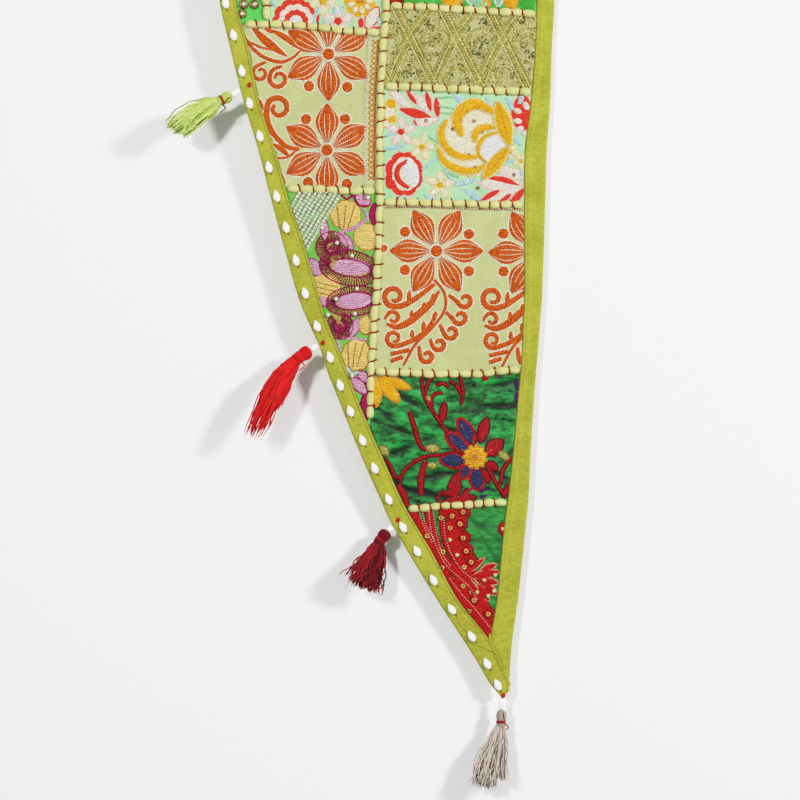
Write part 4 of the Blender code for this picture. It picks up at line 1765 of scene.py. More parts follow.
@dataclass(frozen=True)
class Ring:
    """A sequin or bead ring: a flat or domed ring with a small hole.

    Attributes:
        centre: Its middle.
        radius: Its radius, in millimetres.
        look: Name of its finish.
        hole: Radius of its hole, in millimetres.
        core: Finish of the bead that sits in it, or an empty name for none.
        rise: Height of its rim, in millimetres.
        lift: Height of its edge above the cloth, in millimetres.
    """

    centre: Spot
    radius: float
    look: str
    hole: float = 0.7
    core: str = ""
    rise: float = 0.8
    lift: float = 0.4

    def stitch(self, work: Work, at: Spot = NOWHERE) -> None:
        """Sew it on.

        Args:
            work: Piece that it belongs to.
            at: Place that its centre is measured from.
        """
        turn = np.linspace(0, tau, RING_SIDES + 1)[None, :-1]
        mid, half = (self.radius + self.hole) / 2, (self.radius - self.hole) / 2
        lap = np.linspace(0, pi, 6)[:, None]
        radius = mid + half * np.cos(lap)
        across = self.centre[0] + at[0] + radius * np.cos(turn)
        drop = self.centre[1] + at[1] + radius * np.sin(turn)
        height = np.broadcast_to(self.lift + self.rise * np.sin(lap) - 0.5 * (lap == 0), across.shape)
        work.lay(across, drop, height, self.look, round_way=True)
        if self.core:
            Bead(self.centre, self.hole + 0.5, self.core, self.lift).stitch(work, at)


@dataclass(frozen=True)
class Bead:
    """A seed bead sewn to the cloth.

    Attributes:
        centre: Its middle.
        radius: Its radius, in millimetres.
        look: Name of its finish.
        lift: Height of its lowest ring above the cloth, in millimetres.
    """

    centre: Spot
    radius: float
    look: str = "pearl"
    lift: float = 0.0

    def stitch(self, work: Work, at: Spot = NOWHERE) -> None:
        """Sew it on.

        Args:
            work: Piece that it belongs to.
            at: Place that its centre is measured from.
        """
        turn = np.linspace(0, tau, BEAD_SIDES + 1)[None, :-1]
        lap = np.linspace(-0.25, 0.48, 6)[:, None] * pi
        across = self.centre[0] + at[0] + self.radius * np.cos(lap) * np.cos(turn)
        drop = self.centre[1] + at[1] + self.radius * np.cos(lap) * np.sin(turn)
        height = np.broadcast_to(self.lift + self.radius * (0.6 + np.sin(lap)), across.shape)
        work.lay(across, drop, height, self.look, round_way=True)


@dataclass(frozen=True)
class Flower:
    """Petals of one kind round a middle dot.

    Attributes:
        centre: Its middle.
        petals: Number of petals.
        turn: Angle of the first petal, in degrees.
        reach: Distance of the petal tips from the middle, in millimetres.
        petal: Pattern for one petal, whose base and tip are worked out.
        middle: Pattern for the dot, whose centre is worked out.
        gap: Distance of the petal bases from the middle, in millimetres.
    """

    centre: Spot
    petals: int
    turn: float
    reach: float
    petal: Leaf
    middle: Round
    gap: float = 2.0

    def stitch(self, work: Work, at: Spot = NOWHERE) -> None:
        """Work the flower.

        Args:
            work: Piece that it belongs to.
            at: Place that its centre is measured from.
        """
        for number in range(self.petals):
            angle = radians(self.turn + 360 / self.petals * number)
            ahead = np.array((cos(angle), sin(angle)))
            base, tip = (tuple(self.centre + ahead * reach) for reach in (self.gap, self.reach))
            replace(self.petal, base=base, tip=tip).stitch(work, at)
        replace(self.middle, centre=self.centre).stitch(work, at)


@dataclass(frozen=True)
class Embroidery:
    """All that is stitched on one patch.

    Attributes:
        name: Name of the piece.
        slot: Material slot of the record.
        window: The patch that it stays inside.
        shapes: Everything on it, from the lowest up.
    """

    name: str
    slot: str
    window: Patch
    shapes: Shapes

    def build(self, finishes: Finishes) -> bpy.types.Object:
        """Stitch the patch.

        Args:
            finishes: The finishes to take materials from.

        Returns:
            The piece.
        """
        work = Work(self.name, self.slot, self.window)
        for shape in self.shapes:
            shape.stitch(work)
        return work.finish(finishes)


@dataclass(frozen=True)
class Group:
    """Shapes that are worked together at one or more places.

    Attributes:
        at: Places that the shapes are measured from.
        shapes: The shapes, from the lowest up.
    """

    at: tuple[Spot, ...]
    shapes: Shapes

    def stitch(self, work: Work, at: Spot = NOWHERE) -> None:
        """Work the shapes at each place.

        Args:
            work: Piece that they belong to.
            at: Place that the group's own places are measured from.
        """
        for place in self.at:
            for shape in self.shapes:
                shape.stitch(work, (place[0] + at[0], place[1] + at[1]))


ORANGE_PETAL = Leaf(NOWHERE, (1.0, 0.0), 25.5, "orange", "cream", belly=0.57,
                    veins=(-0.63, -0.2, 0.22, 0.64), point=0.95,
                    rim=0.9)
ORANGE_DOT = Round(NOWHERE, 5.8, "orange", "cream")


def orange_flower(centre: Spot, turn: float) -> Flower:
    """Draw the six-petalled orange flower.

    Args:
        centre: Its middle.
        turn: Angle of its first petal, in degrees.

    Returns:
        The flower.
    """
    return Flower(centre, 6, turn, 47.5, ORANGE_PETAL, replace(ORANGE_DOT, radius=6.4, lift=0.7), gap=3.0)


def dots(spots: Sequence[Spot], dot: object = ORANGE_DOT) -> Shapes:
    """Repeat one small shape.

    Args:
        spots: Places for it.
        dot: The shape.

    Returns:
        The shapes.
    """
    return tuple(replace(dot, centre=spot) for spot in spots)


def orange_leaf(base: Spot, tip: Spot, width: float, bend: float = 0.0) -> Leaf:
    """Draw a small orange leaf with a pale line round it."""
    return Leaf(base, tip, width, "orange", "cream", bend=bend)


def sage_left() -> Shapes:
    """Draw the left sage patch: two orange flowers one above the other, with scrolls beside them.

    Returns:
        The shapes.
    """
    def line(width: float, *spots: Spot) -> Stem:
        """Draw one orange line."""
        return Stem(spots, width, "orange", "cream", taper=0.5)

    return (
        line(4.4, (-139, 114), (-131, 129), (-118, 141), (-100, 147), (-88, 143), (-80, 136)),
        line(3.0, (-136, 124), (-120, 132), (-108, 135)),
        orange_leaf((-130, 110), (-92, 142), 10, 2),
        orange_leaf((-111, 114), (-80, 135), 7.5, -2),
        orange_leaf((-118, 111), (-106, 119), 5),
        Curl(((-114, 147), (-121, 150)), (-119.5, 158), 7.6, 215, -350, 4.6),
        Curl(((-98, 151), (-106, 154)), (-101.5, 163.5), 9.4, 215, -390, 5.2),
        Curl(((-81, 234), (-92, 232), (-104, 222), (-112, 208)), (-102, 193), 11.6, 165, 420, 6.6),
        orange_leaf((-108, 228), (-90, 242), 7, -1),
        line(3.0, (-106, 243), (-93, 242), (-82, 234)),
        orange_leaf((-122, 182), (-116, 196), 4.6),
        line(2.8, (-99, 258), (-95, 268)),
        orange_flower((-51.5, 139), 30),
        orange_flower((-53, 235), 30),
        *dots(((-71, 171), (-32.5, 172), (-74, 204), (-35, 204), (-72, 267), (-33, 269))),
    )


def sage_right() -> Shapes:
    """Draw the right sage patch: an orange flower on a scrolled stem, and part of the next one.

    Returns:
        The shapes.
    """
    curls = tuple(
        Curl(((x + lead[0], y + lead[1]),), (x, y), r, 165, -330, 5.8)
        for x, y, r, lead in ((28.5, 49, 7.6, (-16, -5)), (23.5, 66, 7.4, (-14, -5)),
                              (14.5, 81, 7, (-11, -8)),
                              (2.5, 93, 6.6, (-9, -5)), (-9.5, 105, 6.6, (-8, -10)))
    )
    spray = (
        Stem(((-2, 29), (6.5, 39), (9.5, 52), (5.5, 64), (-6.5, 79), (-21.5, 94), (-33, 114)), 3.4,
             "orange", "cream"),
        Stem(((0.5, 62), (-9.5, 77), (-22.5, 91)), 2.6, "orange", "cream", taper=0.4),
        Curl(((-2, 33), (-16, 44), (-30, 53)), (-42.5, 45.5), 10.4, 80, 400, 6.6),
        Stem(((2.5, 40), (-5.5, 52), (-16.5, 62), (-27.5, 71), (-39.5, 76), (-50, 73)), 8.5, "orange",
             "cream", taper=0.3),
        Curl(((-51.5, 68),), (-43.5, 67), 6.8, 200, 320, 5.0),
        Curl(((0.5, 62), (-8.5, 77), (-21.5, 88)), (-42.5, 87.5), 8, 70, 400, 5.6),
        *(orange_leaf(base, tip, 6) for base, tip in (
            ((-24.5, 71), (-25, 58)), ((-13.5, 63), (-12, 50)), ((-3.5, 55), (-3.5, 41)),
            ((-24.5, 89), (-24, 78)), ((-13.5, 82), (-12.5, 69)), ((-3.5, 72), (-0.5, 59)),
            ((-28, 54), (-27, 38)),
        )),
        Stem(((-45.5, 103), (-27, 99)), 5.0, "orange", "cream"),
        Stem(((-45.5, 110), (-34, 106)), 5.0, "orange", "cream"),
        *curls,
        orange_flower(NOWHERE, 0),
        *dots(((-31.5, -19), (32.5, -17), (-31.5, 19), (32.5, 20))),
    )
    edge = ((3, 293), (40, 292.5), (90, 294), (146, 295))
    return (
        Group(((56.5, 336), (155, 337.5)), spray),
        Leaf((-3, 337), (8, 331), 9, "orange", "cream"),
        Stem(edge, 1.3, "rust_thread", rise=0.3),
        Dashes(edge, 1.6, 1.1, 2.5, "cream", lift=0.2),
    )


@dataclass(frozen=True)
class Dashes:
    """Small straight stitches set side by side across a line.

    Attributes:
        spots: Places that the line passes through.
        length: Length of one stitch, in millimetres.
        width: Width of one stitch, in millimetres.
        pitch: Distance from one stitch to the next, in millimetres.
        look: Name of their finish.
        lift: Height of their edges above the cloth, in millimetres.
    """

    spots: tuple[Spot, ...]
    length: float
    width: float
    pitch: float
    look: str
    lift: float = 0.0

    def stitch(self, work: Work, at: Spot = NOWHERE) -> None:
        """Work the row.

        Args:
            work: Piece that it belongs to.
            at: Place that its spots are measured from.
        """
        path = Path(np.array(self.spots, float) + at, step=self.pitch)
        for across, drop, x, y in zip(path.across, path.drop, *(path.side * self.length / 2)):
            Stem(((across - x, drop - y), (across + x, drop + y)), self.width, self.look,
                 lift=self.lift).stitch(work)


def leaves(look: str, edge: str, *rows: tuple[Spot, Spot, float]) -> Shapes:
    """Draw leaves of one kind.

    Args:
        look: Name of their finish.
        edge: Finish of the line round them, or an empty name.
        rows: Base, tip and width of each.

    Returns:
        The leaves.
    """
    return tuple(Leaf(base, tip, width, look, edge) for base, tip, width in rows)


def lines(look: str, edge: str, *rows: tuple[float, tuple[Spot, ...]], taper: float = 0.5,
          lift: float = 0.0) -> Shapes:
    """Draw stems of one kind.

    Args:
        look: Name of their finish.
        edge: Finish of the line along them, or an empty name.
        rows: Width and spots of each.
        taper: Width of their ends as a share.
        lift: Height of their edges above the cloth, in millimetres.

    Returns:
        The stems.
    """
    return tuple(Stem(spots, width, look, edge, taper, lift) for width, spots in rows)


def mint_right() -> Shapes:
    """Draw the right mint patch: a large yellow and white round, red leaves and small flowers.

    Returns:
        The shapes.
    """
    petal = Leaf(NOWHERE, (1.0, 0.0), 7.4, "blush", "shell_pink", belly=0.6)
    middle = Round(NOWHERE, 3.4, "scarlet", lift=0.5)
    daisy = replace(petal, look="ivory", edge="straw")
    bud = replace(daisy, width=5)
    yolk = replace(middle, look="gold_thread", radius=3.0)
    return (
        *lines("sky", "", (7, ((75, 180), (83, 188))), (6, ((107, 182), (112, 195))),
               (6, ((127, 182), (133, 195))),
               (6, ((143, 181), (139, 189))), (6, ((133, 220), (141, 230))), (4, ((117, 249), (135, 245))),
               (3.5, ((57, 243), (42, 255))), (6, ((75, 270), (95, 265))), (6, ((45, 280), (55, 286))),
               (7, ((85, 275), (100, 285))), (3.5, ((3, 222), (15, 218))), (5, ((5, 235), (25, 230))),
               (3, ((64, 252), (69, 262), (80, 268))), (3, ((140, 262), (143, 255)))),
        *lines("mint_thread", "", (2.5, ((55, 190), (75, 194))), (2.5, ((60, 198), (78, 199))),
               (2.5, ((57, 183), (72, 182))), (3, ((62, 256), (78, 262))), (2.5, ((46, 220), (58, 228)))),
        *leaves("blush", "shell_pink", ((30, 194), (9, 175), 9), ((48, 198), (34, 178), 8),
                ((58, 205), (32, 208), 10),
                ((116, 252), (144, 264), 12), ((98, 268), (144, 270), 16), ((142, 272), (104, 288), 8)),
        Ring((46, 206), 2.2, "tan", 0.5, lift=0.9, rise=0.5),
        Leaf((34, 205), (37, 211), 2.2, "scarlet", lift=0.8),
        *leaves("scarlet", "shell_pink", ((52, 203), (19, 194), 10.5), ((37, 190), (26, 175), 5.4),
                ((51, 197), (46, 176), 6.4), ((58, 203), (56, 182), 7.4), ((106, 262), (143, 271), 10.5),
                ((121, 274), (100, 286), 6.4), ((133, 275), (119, 289), 7.2), ((145, 273), (130, 290), 8.4)),
        Round((11, 189), 6.0, "gold_thread", "straw", lobes=5, depth=0.3),
        Round((9, 198), 7.5, "ivory", "gold_thread", lobes=5, depth=0.3),
        Round((12, 204), 5.2, "gold_thread", "straw", lobes=4, depth=0.3),
        Round((6, 209), 4.4, "ivory", "gold_thread", lobes=4, depth=0.3),
        Round((11, 198), 2.2, "ivory", lift=0.7),
        *(Flower(spot, 5, turn, reach, kind, core, gap=1.5) for spot, turn, reach, kind, core in (
            ((21, 217), -90, 14.5, petal, middle), ((42, 232), -75, 13.5, daisy, yolk),
            ((60, 270), -85, 15, daisy, yolk), ((130, 237), -60, 7, bud, replace(yolk, radius=1.6)),
            ((141, 246), 20, 8, bud, replace(yolk, radius=1.8)))),
        Round((24, 259), 20.5, "scarlet", "shell_pink", squash=1.17, lobes=8, depth=0.1),
        Round((25, 259), 14.5, "blush", squash=1.25, lobes=8, depth=0.08, lift=0.5),
        *lines("scarlet", "", (5.5, ((26, 247), (19, 252), (17, 261), (21, 268), (29, 273))),
               (3, ((19, 252), (27, 245))), lift=1.3),
        Round((31, 259), 8.0, "white", squash=1.7, turn=-14, lift=1.2),
        Round((11, 269), 5.4, "scarlet", lift=0.5),
        Round((92, 227), 35.5, "ivory", "straw", squash=1.03, turn=20, lobes=11, depth=0.03, rise=0.6),
        Round((113, 233), 15, "white", squash=0.8, turn=-50, lift=0.6),
        *lines("gold_thread", "straw", (7.4, ((67, 205), (61, 218), (66, 232), (79, 241), (97, 242))),
               (7.6, ((58, 234), (65, 247), (81, 255), (96, 255), (105, 250))),
               (11.5, ((82, 221), (77, 206), (82, 195), (96, 189), (114, 197))),
               (7.4, ((96, 227), (95, 219), (102, 213), (114, 212))),
               (3.8, ((118, 217), (106, 221), (99, 230), (99, 240), (106, 247))), taper=0.3, lift=0.9),
        *(replace(leaf, lift=1.2, veins=(-0.1,), vein="amber") for leaf in leaves(
            "gold_thread", "straw", ((117, 186), (130, 231), 17), ((129, 231), (103, 264), 14))),
        *(Ring(spot, 1.9, "tan", 0.6, lift=1.3, rise=0.4) for spot in (
            (87, 196), (73, 214), (94, 206), (102, 217), (89, 240), (95, 252), (125, 214), (134, 260),
            (98, 273))),
        Round((143, 198), 12.5, "scarlet", "shell_pink", squash=1.5, lobes=7, depth=0.14),
        *(Round(spot, size * 0.86, "blush", squash=0.66, turn=turn, lift=0.5) for spot, size, turn in (
            ((146, 191), 6, 60), ((138, 196), 5.4, 20), ((138, 206), 5.4, 10), ((140, 214), 5.2, -30),
            ((144, 219), 3.6, 40))),
    )


def green_satin() -> Shapes:
    """Draw the dark satin patch: a dark flower with red outlines, stems, and yellow leaves in its corner.

    Returns:
        The shapes.
    """
    return (
        *leaves("gold_thread", "amber", ((-4, 462), (-4, 492), 13), ((0, 462), (19, 488), 13),
                ((2, 462), (31, 474), 10), ((-2, 466), (10, 474), 9)),
        *(Leaf(base, tip, width, "olive", "olive_shade") for base, tip, width in (
            ((45, 533), (60, 534), 9), ((47, 550), (57, 551), 7), ((118, 536), (129, 545), 8),
            ((0, 530), (8, 541), 9), ((47, 480), (51, 487), 5))),
        *lines("crimson", "crimson_shade",
               (3.2, ((41, 461), (44, 480), (53, 497), (67, 517), (77, 535), (83, 540))),
               (3, ((53, 462), (47, 470), (45, 480))), (3, ((80, 462), (83, 477), (81, 490))),
               (3, ((53, 497), (51, 485), (55, 479), (63, 478))), (3, ((56, 471), (63, 468), (69, 473))),
               (3, ((69, 466), (76, 470), (81, 480))), (4.6, ((29, 496), (35, 515), (40, 530), (46, 536))),
               (6.4, ((45, 546), (41, 565), (41, 580))),
               (3.2, ((20, 575), (21, 562), (30, 550), (45, 542), (60, 540), (78, 536))),
               (3, ((10, 550), (16, 563), (20, 562))), (3, ((5, 543), (12, 555), (13, 562))),
               (5.6, ((18, 570), (24, 580), (28, 592))),
               (3.6, ((106, 550), (117, 570), (125, 582))), (3.6, ((132, 542), (123, 555), (120, 570))),
               (2.6, ((64, 575), (58, 582), (57, 588)))),
        *leaves("crimson", "crimson_shade", ((61, 508), (65, 487), 8), ((128, 569), (123, 584), 6),
                ((60, 589), (97, 582), 11),
                ((62, 580), (80, 576), 7), ((83, 555), (68, 575), 9), ((78, 562), (74, 584), 10),
                ((82, 588), (88, 573), 7)),
        *(replace(leaf, rim=2.1) for leaf in leaves(
            "indigo", "crimson", ((94, 530), (79, 504), 14), ((88, 537), (66, 518), 14),
            ((86, 546), (60, 545), 15), ((96, 552), (98, 575), 16), ((90, 551), (80, 563), 10))),
        *leaves("crimson", "crimson_shade", ((100, 528), (107, 502), 12), ((105, 540), (123, 525), 17),
                ((106, 547), (118, 555), 10), ((93, 531), (95, 516), 6), ((101, 553), (109, 568), 8)),
        *leaves("scarlet", "", ((105, 540), (118, 529), 6), ((101, 526), (105, 510), 4)),
        *lines("sky_shade", "", (2.2, ((88, 524), (81, 509))), (2.2, ((83, 532), (71, 522))),
               (2, ((79, 545), (66, 545)))),
        Round((95, 542), 12, "gold_thread", "amber", lobes=11, depth=0.24, lift=0.7),
        Round((95, 542), 6.4, "gold_thread", "amber", lobes=8, depth=0.2, lift=1.4),
        Round((95, 542), 2.6, "sand_shade", "amber", lift=2.2),
        *dots(((137, 470), (137, 483)), Round(NOWHERE, 3, "violet", squash=2.1)),
        Round((105, 462), 4.5, "crimson", squash=0.9),
        *lines("magenta", "", (2.4, ((88, 584), (89, 576), (96, 572)))),
        *lines("violet", "", (4, ((99, 577), (108, 573))), (3, ((100, 583), (107, 580)))),
        *dots(((93, 527), (82, 535), (84, 547), (107, 534)),
              Ring(NOWHERE, 1.5, "bronze", 0.5, lift=1.4, rise=0.4)),
    )


def tip() -> Shapes:
    """Draw the tip: red borders and ruffled rounds with sequins, on the green ground.

    Returns:
        The shapes.
    """
    sequins = ((72, 601), (83, 597), (61, 603), (80, 609), (70, 613), (83, 623), (86, 636), (63, 637),
               (91, 647), (84, 652), (83, 671), (94, 685), (89, 696), (108, 699), (47, 621), (62, 653))
    pearls = ((70, 625), (77, 640), (97, 677), (108, 681), (114, 676), (115, 660), (104, 665))
    rows = (((39, 596), (44, 611), (52, 627)), ((42, 596), (46, 610), (54, 625)),
            ((53, 597), (57, 620), (63, 640), (70, 650)),
            ((49, 597), (51, 615), (57, 632), (66, 650), (80, 663), (90, 672), (97, 684)),
            ((64, 603), (65, 620), (71, 638), (82, 655), (92, 663), (104, 672)),
            ((70, 664), (80, 677), (92, 690), (102, 702), (112, 715)))
    return (
        *lines("tip_red", "tip_shade",
               (8.5, ((31, 594), (45, 617), (60, 650), (75, 675), (95, 705), (112, 727))),
               (13, ((73, 664), (84, 682), (98, 700), (113, 716))),
               (10, ((98, 680), (106, 694), (112, 706))),
               (9.5, ((48, 594), (53, 620), (63, 644), (79, 660), (98, 680), (105, 694))),
               (5, ((61, 595), (63, 618), (71, 640), (84, 656))), taper=0.8),
        *dots(((68, 596), (76, 605), (74, 618), (76, 630), (78, 648), (72, 622), (88, 660), (98, 693),
               (105, 707)),
              Round(NOWHERE, 9, "tip_red", "tip_shade", lobes=6, depth=0.2)),
        *dots(((72, 601), (83, 597), (80, 609), (70, 613), (83, 623), (70, 625), (86, 636), (77, 639),
               (91, 647), (84, 652), (83, 671), (94, 685), (108, 699)),
              Round(NOWHERE, 7.4, "tip_red", "tip_shade", lobes=9, depth=0.14, lift=0.5)),
        *dots(((72, 601), (83, 597), (80, 609), (83, 623), (86, 636), (91, 647), (94, 685), (108, 699)),
              Round(NOWHERE, 4.2, "tip_red", "tip_shade", lobes=5, depth=0.14, lift=1.1)),
        *(replace(leaf, lift=0.4, point=1.0, rim=0.75) for leaf in leaves(
            "tip_red", "coral", ((87, 658), (105, 642), 5.4), ((100, 655), (117, 649), 6.5),
            ((90, 662), (120, 656), 9),
            ((94, 664), (120, 668), 8), ((96, 665), (118, 680), 10), ((98, 668), (109, 686), 10),
            ((90, 664), (99, 690), 9))),
        Leaf((124, 607), (122, 620), 10, "tip_red", "tip_shade"),
        *(Dashes(row, 1.3, 0.95, 2.5, "cream", lift=1.0) for row in rows),
        *(Ring(spot, 2.5, "gold", 0.9, lift=1.9, rise=0.7) for spot in sequins),
        *(Ring(spot, 2.3, "gold", 0.9, "pearl", lift=1.9, rise=0.5) for spot in pearls),
        Ring((123, 614), 2.2, "gold", 0.7, "pearl", lift=1.2),
    )


def paisley() -> Shapes:
    """Draw the paisley patch: two laddered paisleys head to head, seed beads, and sand fans.

    Returns:
        The shapes.
    """
    beads = tuple(
        Bead((-41 - 1.92 * step - 3.75 * row + 0.4 * sin(7.0 * step), 281 + 3.15 * step - 2.3 * row),
             1.75 + 0.25 * sin(5.0 * row + step), "mist" if (step + row) % 3 == 0 else "pearl")
        for row in range(9) for step in range(-1, 19)
    )
    threads = tuple(
        Stem(((-39 - 3.75 * row, 278 - 2.3 * row), (-76 - 3.75 * row, 338 - 2.3 * row)), 3.8, "mist_thread",
             rise=0.4)
        for row in range(9)
    )
    return (
        *threads,
        *lines("mauve", "", (4, ((-17, 293), (-13, 303), (-28, 314), (-46, 319))),
               (3, ((-38, 423), (-12, 425))), (3, ((-43, 424), (-40, 437)))),
        *leaves("mauve", "mauve_shade", ((-55, 326), (-56, 304), 9), ((-42, 317), (-27, 335), 11),
                ((-70, 343), (-60, 362), 12), ((-60, 380), (-54, 392), 10), ((-21, 403), (-30, 423), 10)),
        *(Round(spot, size, "sand", "sand_shade", squash=squash, lobes=lobes, depth=0.06) for spot, size,
          squash, lobes in (
            ((-34, 300), 16, 0.96, 9), ((-13, 322), 14, 1.0, 8), ((-55, 372), 17, 0.85, 9),
            ((-23, 440), 16, 1.0, 9), ((-14, 410), 7.5, 1.3, 6))),
        *lines("sand_shade", "",
               *((0.9, ((-36 + 4 * side, 313), (-34 + 9 * side, 290))) for side in (-1, 0, 1)),
               *((0.9, ((-27 + 4 * side, 452), (-24 + 8 * side, 428))) for side in (-1, 0, 1)),
               *((0.9, ((-68, 366 + 5 * row), (-42, 372 + 5 * row))) for row in range(3)), lift=0.7),
        *beads,
        *lines("mist", "", (1.4, ((-84, 292), (-78, 288), (-72, 292), (-78, 297), (-86, 294))),
               (1.4, ((-88, 282), (-76, 280))), (1.6, ((-58, 305), (-66, 322)))),
        Round((-17, 285), 8.5, "mauve", "magenta", squash=0.8, turn=30),
        *lines("magenta", "", (3, ((-40, 279), (-33, 284), (-27, 281), (-21, 290), (-11, 291))),
               (7, ((-5, 288), (-8, 300), (-6, 310)))),
        *leaves("magenta", "maroon_thread", ((-13, 474), (-15, 506), 11)),
        *leaves("mauve", "magenta", ((-29, 462), (-12, 480), 11), ((-22, 456), (-10, 468), 10)),
        *lines("white", "sky_shade", (2.4, ((-34, 452), (-28, 459), (-21, 457)))),
        *(Round(spot, size, "olive", squash=squash, turn=turn, rise=0.4) for spot, size, squash, turn in (
            ((-30, 353), 30, 0.57, 9), ((-48, 332), 15, 1, 0), ((-27, 387), 27, 0.56, -8),
            ((-40, 411), 13, 1, 0))),
        Round((-28, 352), 20, "mauve", "mauve_shade", squash=0.44, turn=2, lift=0.2),
        Round((-25, 386), 19, "mauve", "mauve_shade", squash=0.46, turn=-6, lift=0.2),
        Ladder((-30, 353), (21, 8.6), (31, 17.5), 9, (-140, 205), 62),
        Ladder((-48, 332), (5.6, 5.6), (16, 15.5), 0, (92, 405), 42),
        Ladder((-46, 335), (1.2, 1.2), (5.2, 5.2), 0, (-180, 140), 16),
        Ladder((-26, 386), (19, 8.6), (28, 15), -6, (-178, 178), 60),
        Ladder((-40, 411), (4.8, 4.8), (13.2, 13.2), 0, (-80, 230), 40),
        Ladder((-41, 413), (1.0, 1.0), (4.2, 4.2), 0, (-180, 140), 14),
        *(Bead(spot, 2.3, lift=1.0) for spot in (
            (-43, 328), (-28, 341), (-23, 374), (-52, 400), (-25, 399), (-44, 384), (-58, 313), (-12, 283),
            (-28, 461))),
    )


LATTICE_SEED = 23
LATTICE_PITCH = 46
LATTICE_CURLS = 420
LATTICE_KNOTS = 70
LATTICE_STRANDS = (0, 3.2, 6.4, 9.6)
LATTICE_FANS = ((0, 128, (15, 11, 7)), (-24, 160, (16, 12, 8, 4)))
LATTICE_ARC = tuple(np.linspace(-0.5, pi + 0.5, 9))


def olive_lattice() -> Shapes:
    """Draw the olive patch: diagonal chain stitch in a lattice, filled with fans, curls and knots.

    Returns:
        The shapes.
    """
    chance = np.random.default_rng(LATTICE_SEED)
    shapes: list[object] = []
    for x in range(-36, 180, LATTICE_PITCH):
        for number, strand in enumerate(LATTICE_STRANDS):
            look = ("olive_pale", "olive")[number % 2]
            shapes.append(Stem(((x + strand, 90), (x + 43 + strand, 175)), 2.4, look, rise=1.3))
            shapes.append(Stem(((x - strand, 93), (x - 26 - strand, 130), (x - 46 - strand, 175)), 2.2,
                               look, rise=1.2))
        for shift, y, radii in LATTICE_FANS:
            for number, radius in enumerate(radii):
                look = ("olive", "olive_pale")[number % 2]
                arc = tuple((x + shift + radius * cos(a), y - radius * sin(a)) for a in LATTICE_ARC)
                shapes.append(Stem(arc, 2.2, look))
    for _ in range(LATTICE_CURLS):
        x, y = float(chance.uniform(4, 158)), float(chance.uniform(94, 172))
        start = float(chance.uniform(0, 360))
        look = ("olive", "olive_pale", "olive_pale", "olive_shade")[chance.integers(4)]
        shapes.append(Curl((), (x, y), float(chance.uniform(1.6, 3.8)), start, 300, 1.7, look, ""))
    for _ in range(LATTICE_KNOTS):
        spot = float(chance.uniform(4, 158)), float(chance.uniform(92, 172))
        shapes.append(Round(spot, 0.9, "olive_dark", lift=0.7, rise=0.4))
    return tuple(shapes)


def concentric(centre: Spot, radius: float, lobes: int, *looks: str) -> Shapes:
    """Draw scalloped rounds one inside the other.

    Args:
        centre: Their middle.
        radius: Radius of the outermost, in millimetres.
        lobes: Number of scallops of each.
        looks: Their finishes from the outermost in.

    Returns:
        The rounds.
    """
    share = [1 - number / (len(looks) + 0.4) for number in range(len(looks))]
    return tuple(Round(centre, radius * size, look, lobes=lobes, depth=0.1, lift=0.45 * number)
                 for number, (look, size) in enumerate(zip(looks, share)))


def mint_top() -> Shapes:
    """Draw the upper mint patch: a red and white round, a yellow round, and small flowers.

    Returns:
        The shapes.
    """
    petal = Leaf(NOWHERE, (1.0, 0.0), 9, "blush", "shell_pink", belly=0.6)
    middle = Round(NOWHERE, 3.8, "scarlet", lift=0.5)
    ivory = replace(petal, look="ivory", edge="straw")
    yolk = replace(middle, look="gold_thread")
    return (
        *lines("sky", "", (5, ((-60, 92), (-66, 104), (-62, 114))), (4, ((-110, 84), (-104, 92))),
               (4, ((-57, 105), (-50, 113))),
               (5, ((-36, 92), (-44, 98), (-46, 90))), (5, ((-122, 72), (-110, 66))),
               (6, ((-62, 62), (-50, 70))),
               (5, ((-120, 40), (-108, 34))), (6, ((-48, 14), (-36, 22))), (3, ((-4, 100), (0, 110)))),
        *concentric((-84, 107), 25, 11, "scarlet", "blush", "scarlet", "white"),
        *concentric((-78, 40), 22, 10, "scarlet", "blush", "scarlet", "white"),
        Round((-20, 86), 17, "gold_thread", "straw", lobes=9, depth=0.14),
        *(Leaf((-20 + 5 * cos(a), 86 + 5 * sin(a)), (-20 + 14 * cos(a), 86 + 14 * sin(a)), 5.5, "ivory",
               lift=0.8)
          for a in np.radians(np.arange(0, 360, 40))),
        Round((-20, 86), 3.4, "amber", lift=1.2),
        *(Flower(spot, 5, turn, reach, kind, core, gap=2) for spot, turn, reach, kind, core in (
            ((-42, 106), -90, 15, petal, middle), ((-57, 86), 20, 14, ivory, yolk),
            ((-30, 52), 0, 14, petal, middle),
            ((-44, 22), 30, 13, ivory, yolk), ((-112, 60), 10, 13, petal, middle))),
        *leaves("blush", "scarlet", ((-14, 114), (-2, 92), 13), ((-108, 26), (-98, 8), 11)),
        *leaves("scarlet", "shell_pink", ((-19, 114), (-19, 102), 7), ((-14, 116), (1, 112), 5),
                ((-14, 34), (-4, 14), 9), ((-62, 14), (-76, 4), 8)),
    )


BARE_SPOTS = {(0, 1), (0, 2), (1, 2)}


def bead_corner() -> Shapes:
    """Draw the bead corner: antique ring beads with pale centres, packed in rows.

    Returns:
        The shapes.
    """
    return tuple(
        Ring((-138 + 10.6 * column - 3.3 * row + 5 * (row % 2), 99 - 9.4 * row), 4.9, "bronze", 1.7,
             "pearl", rise=1.5)
        for row in range(12) for column in range(-1, 3) if (row, column) not in BARE_SPOTS
    )


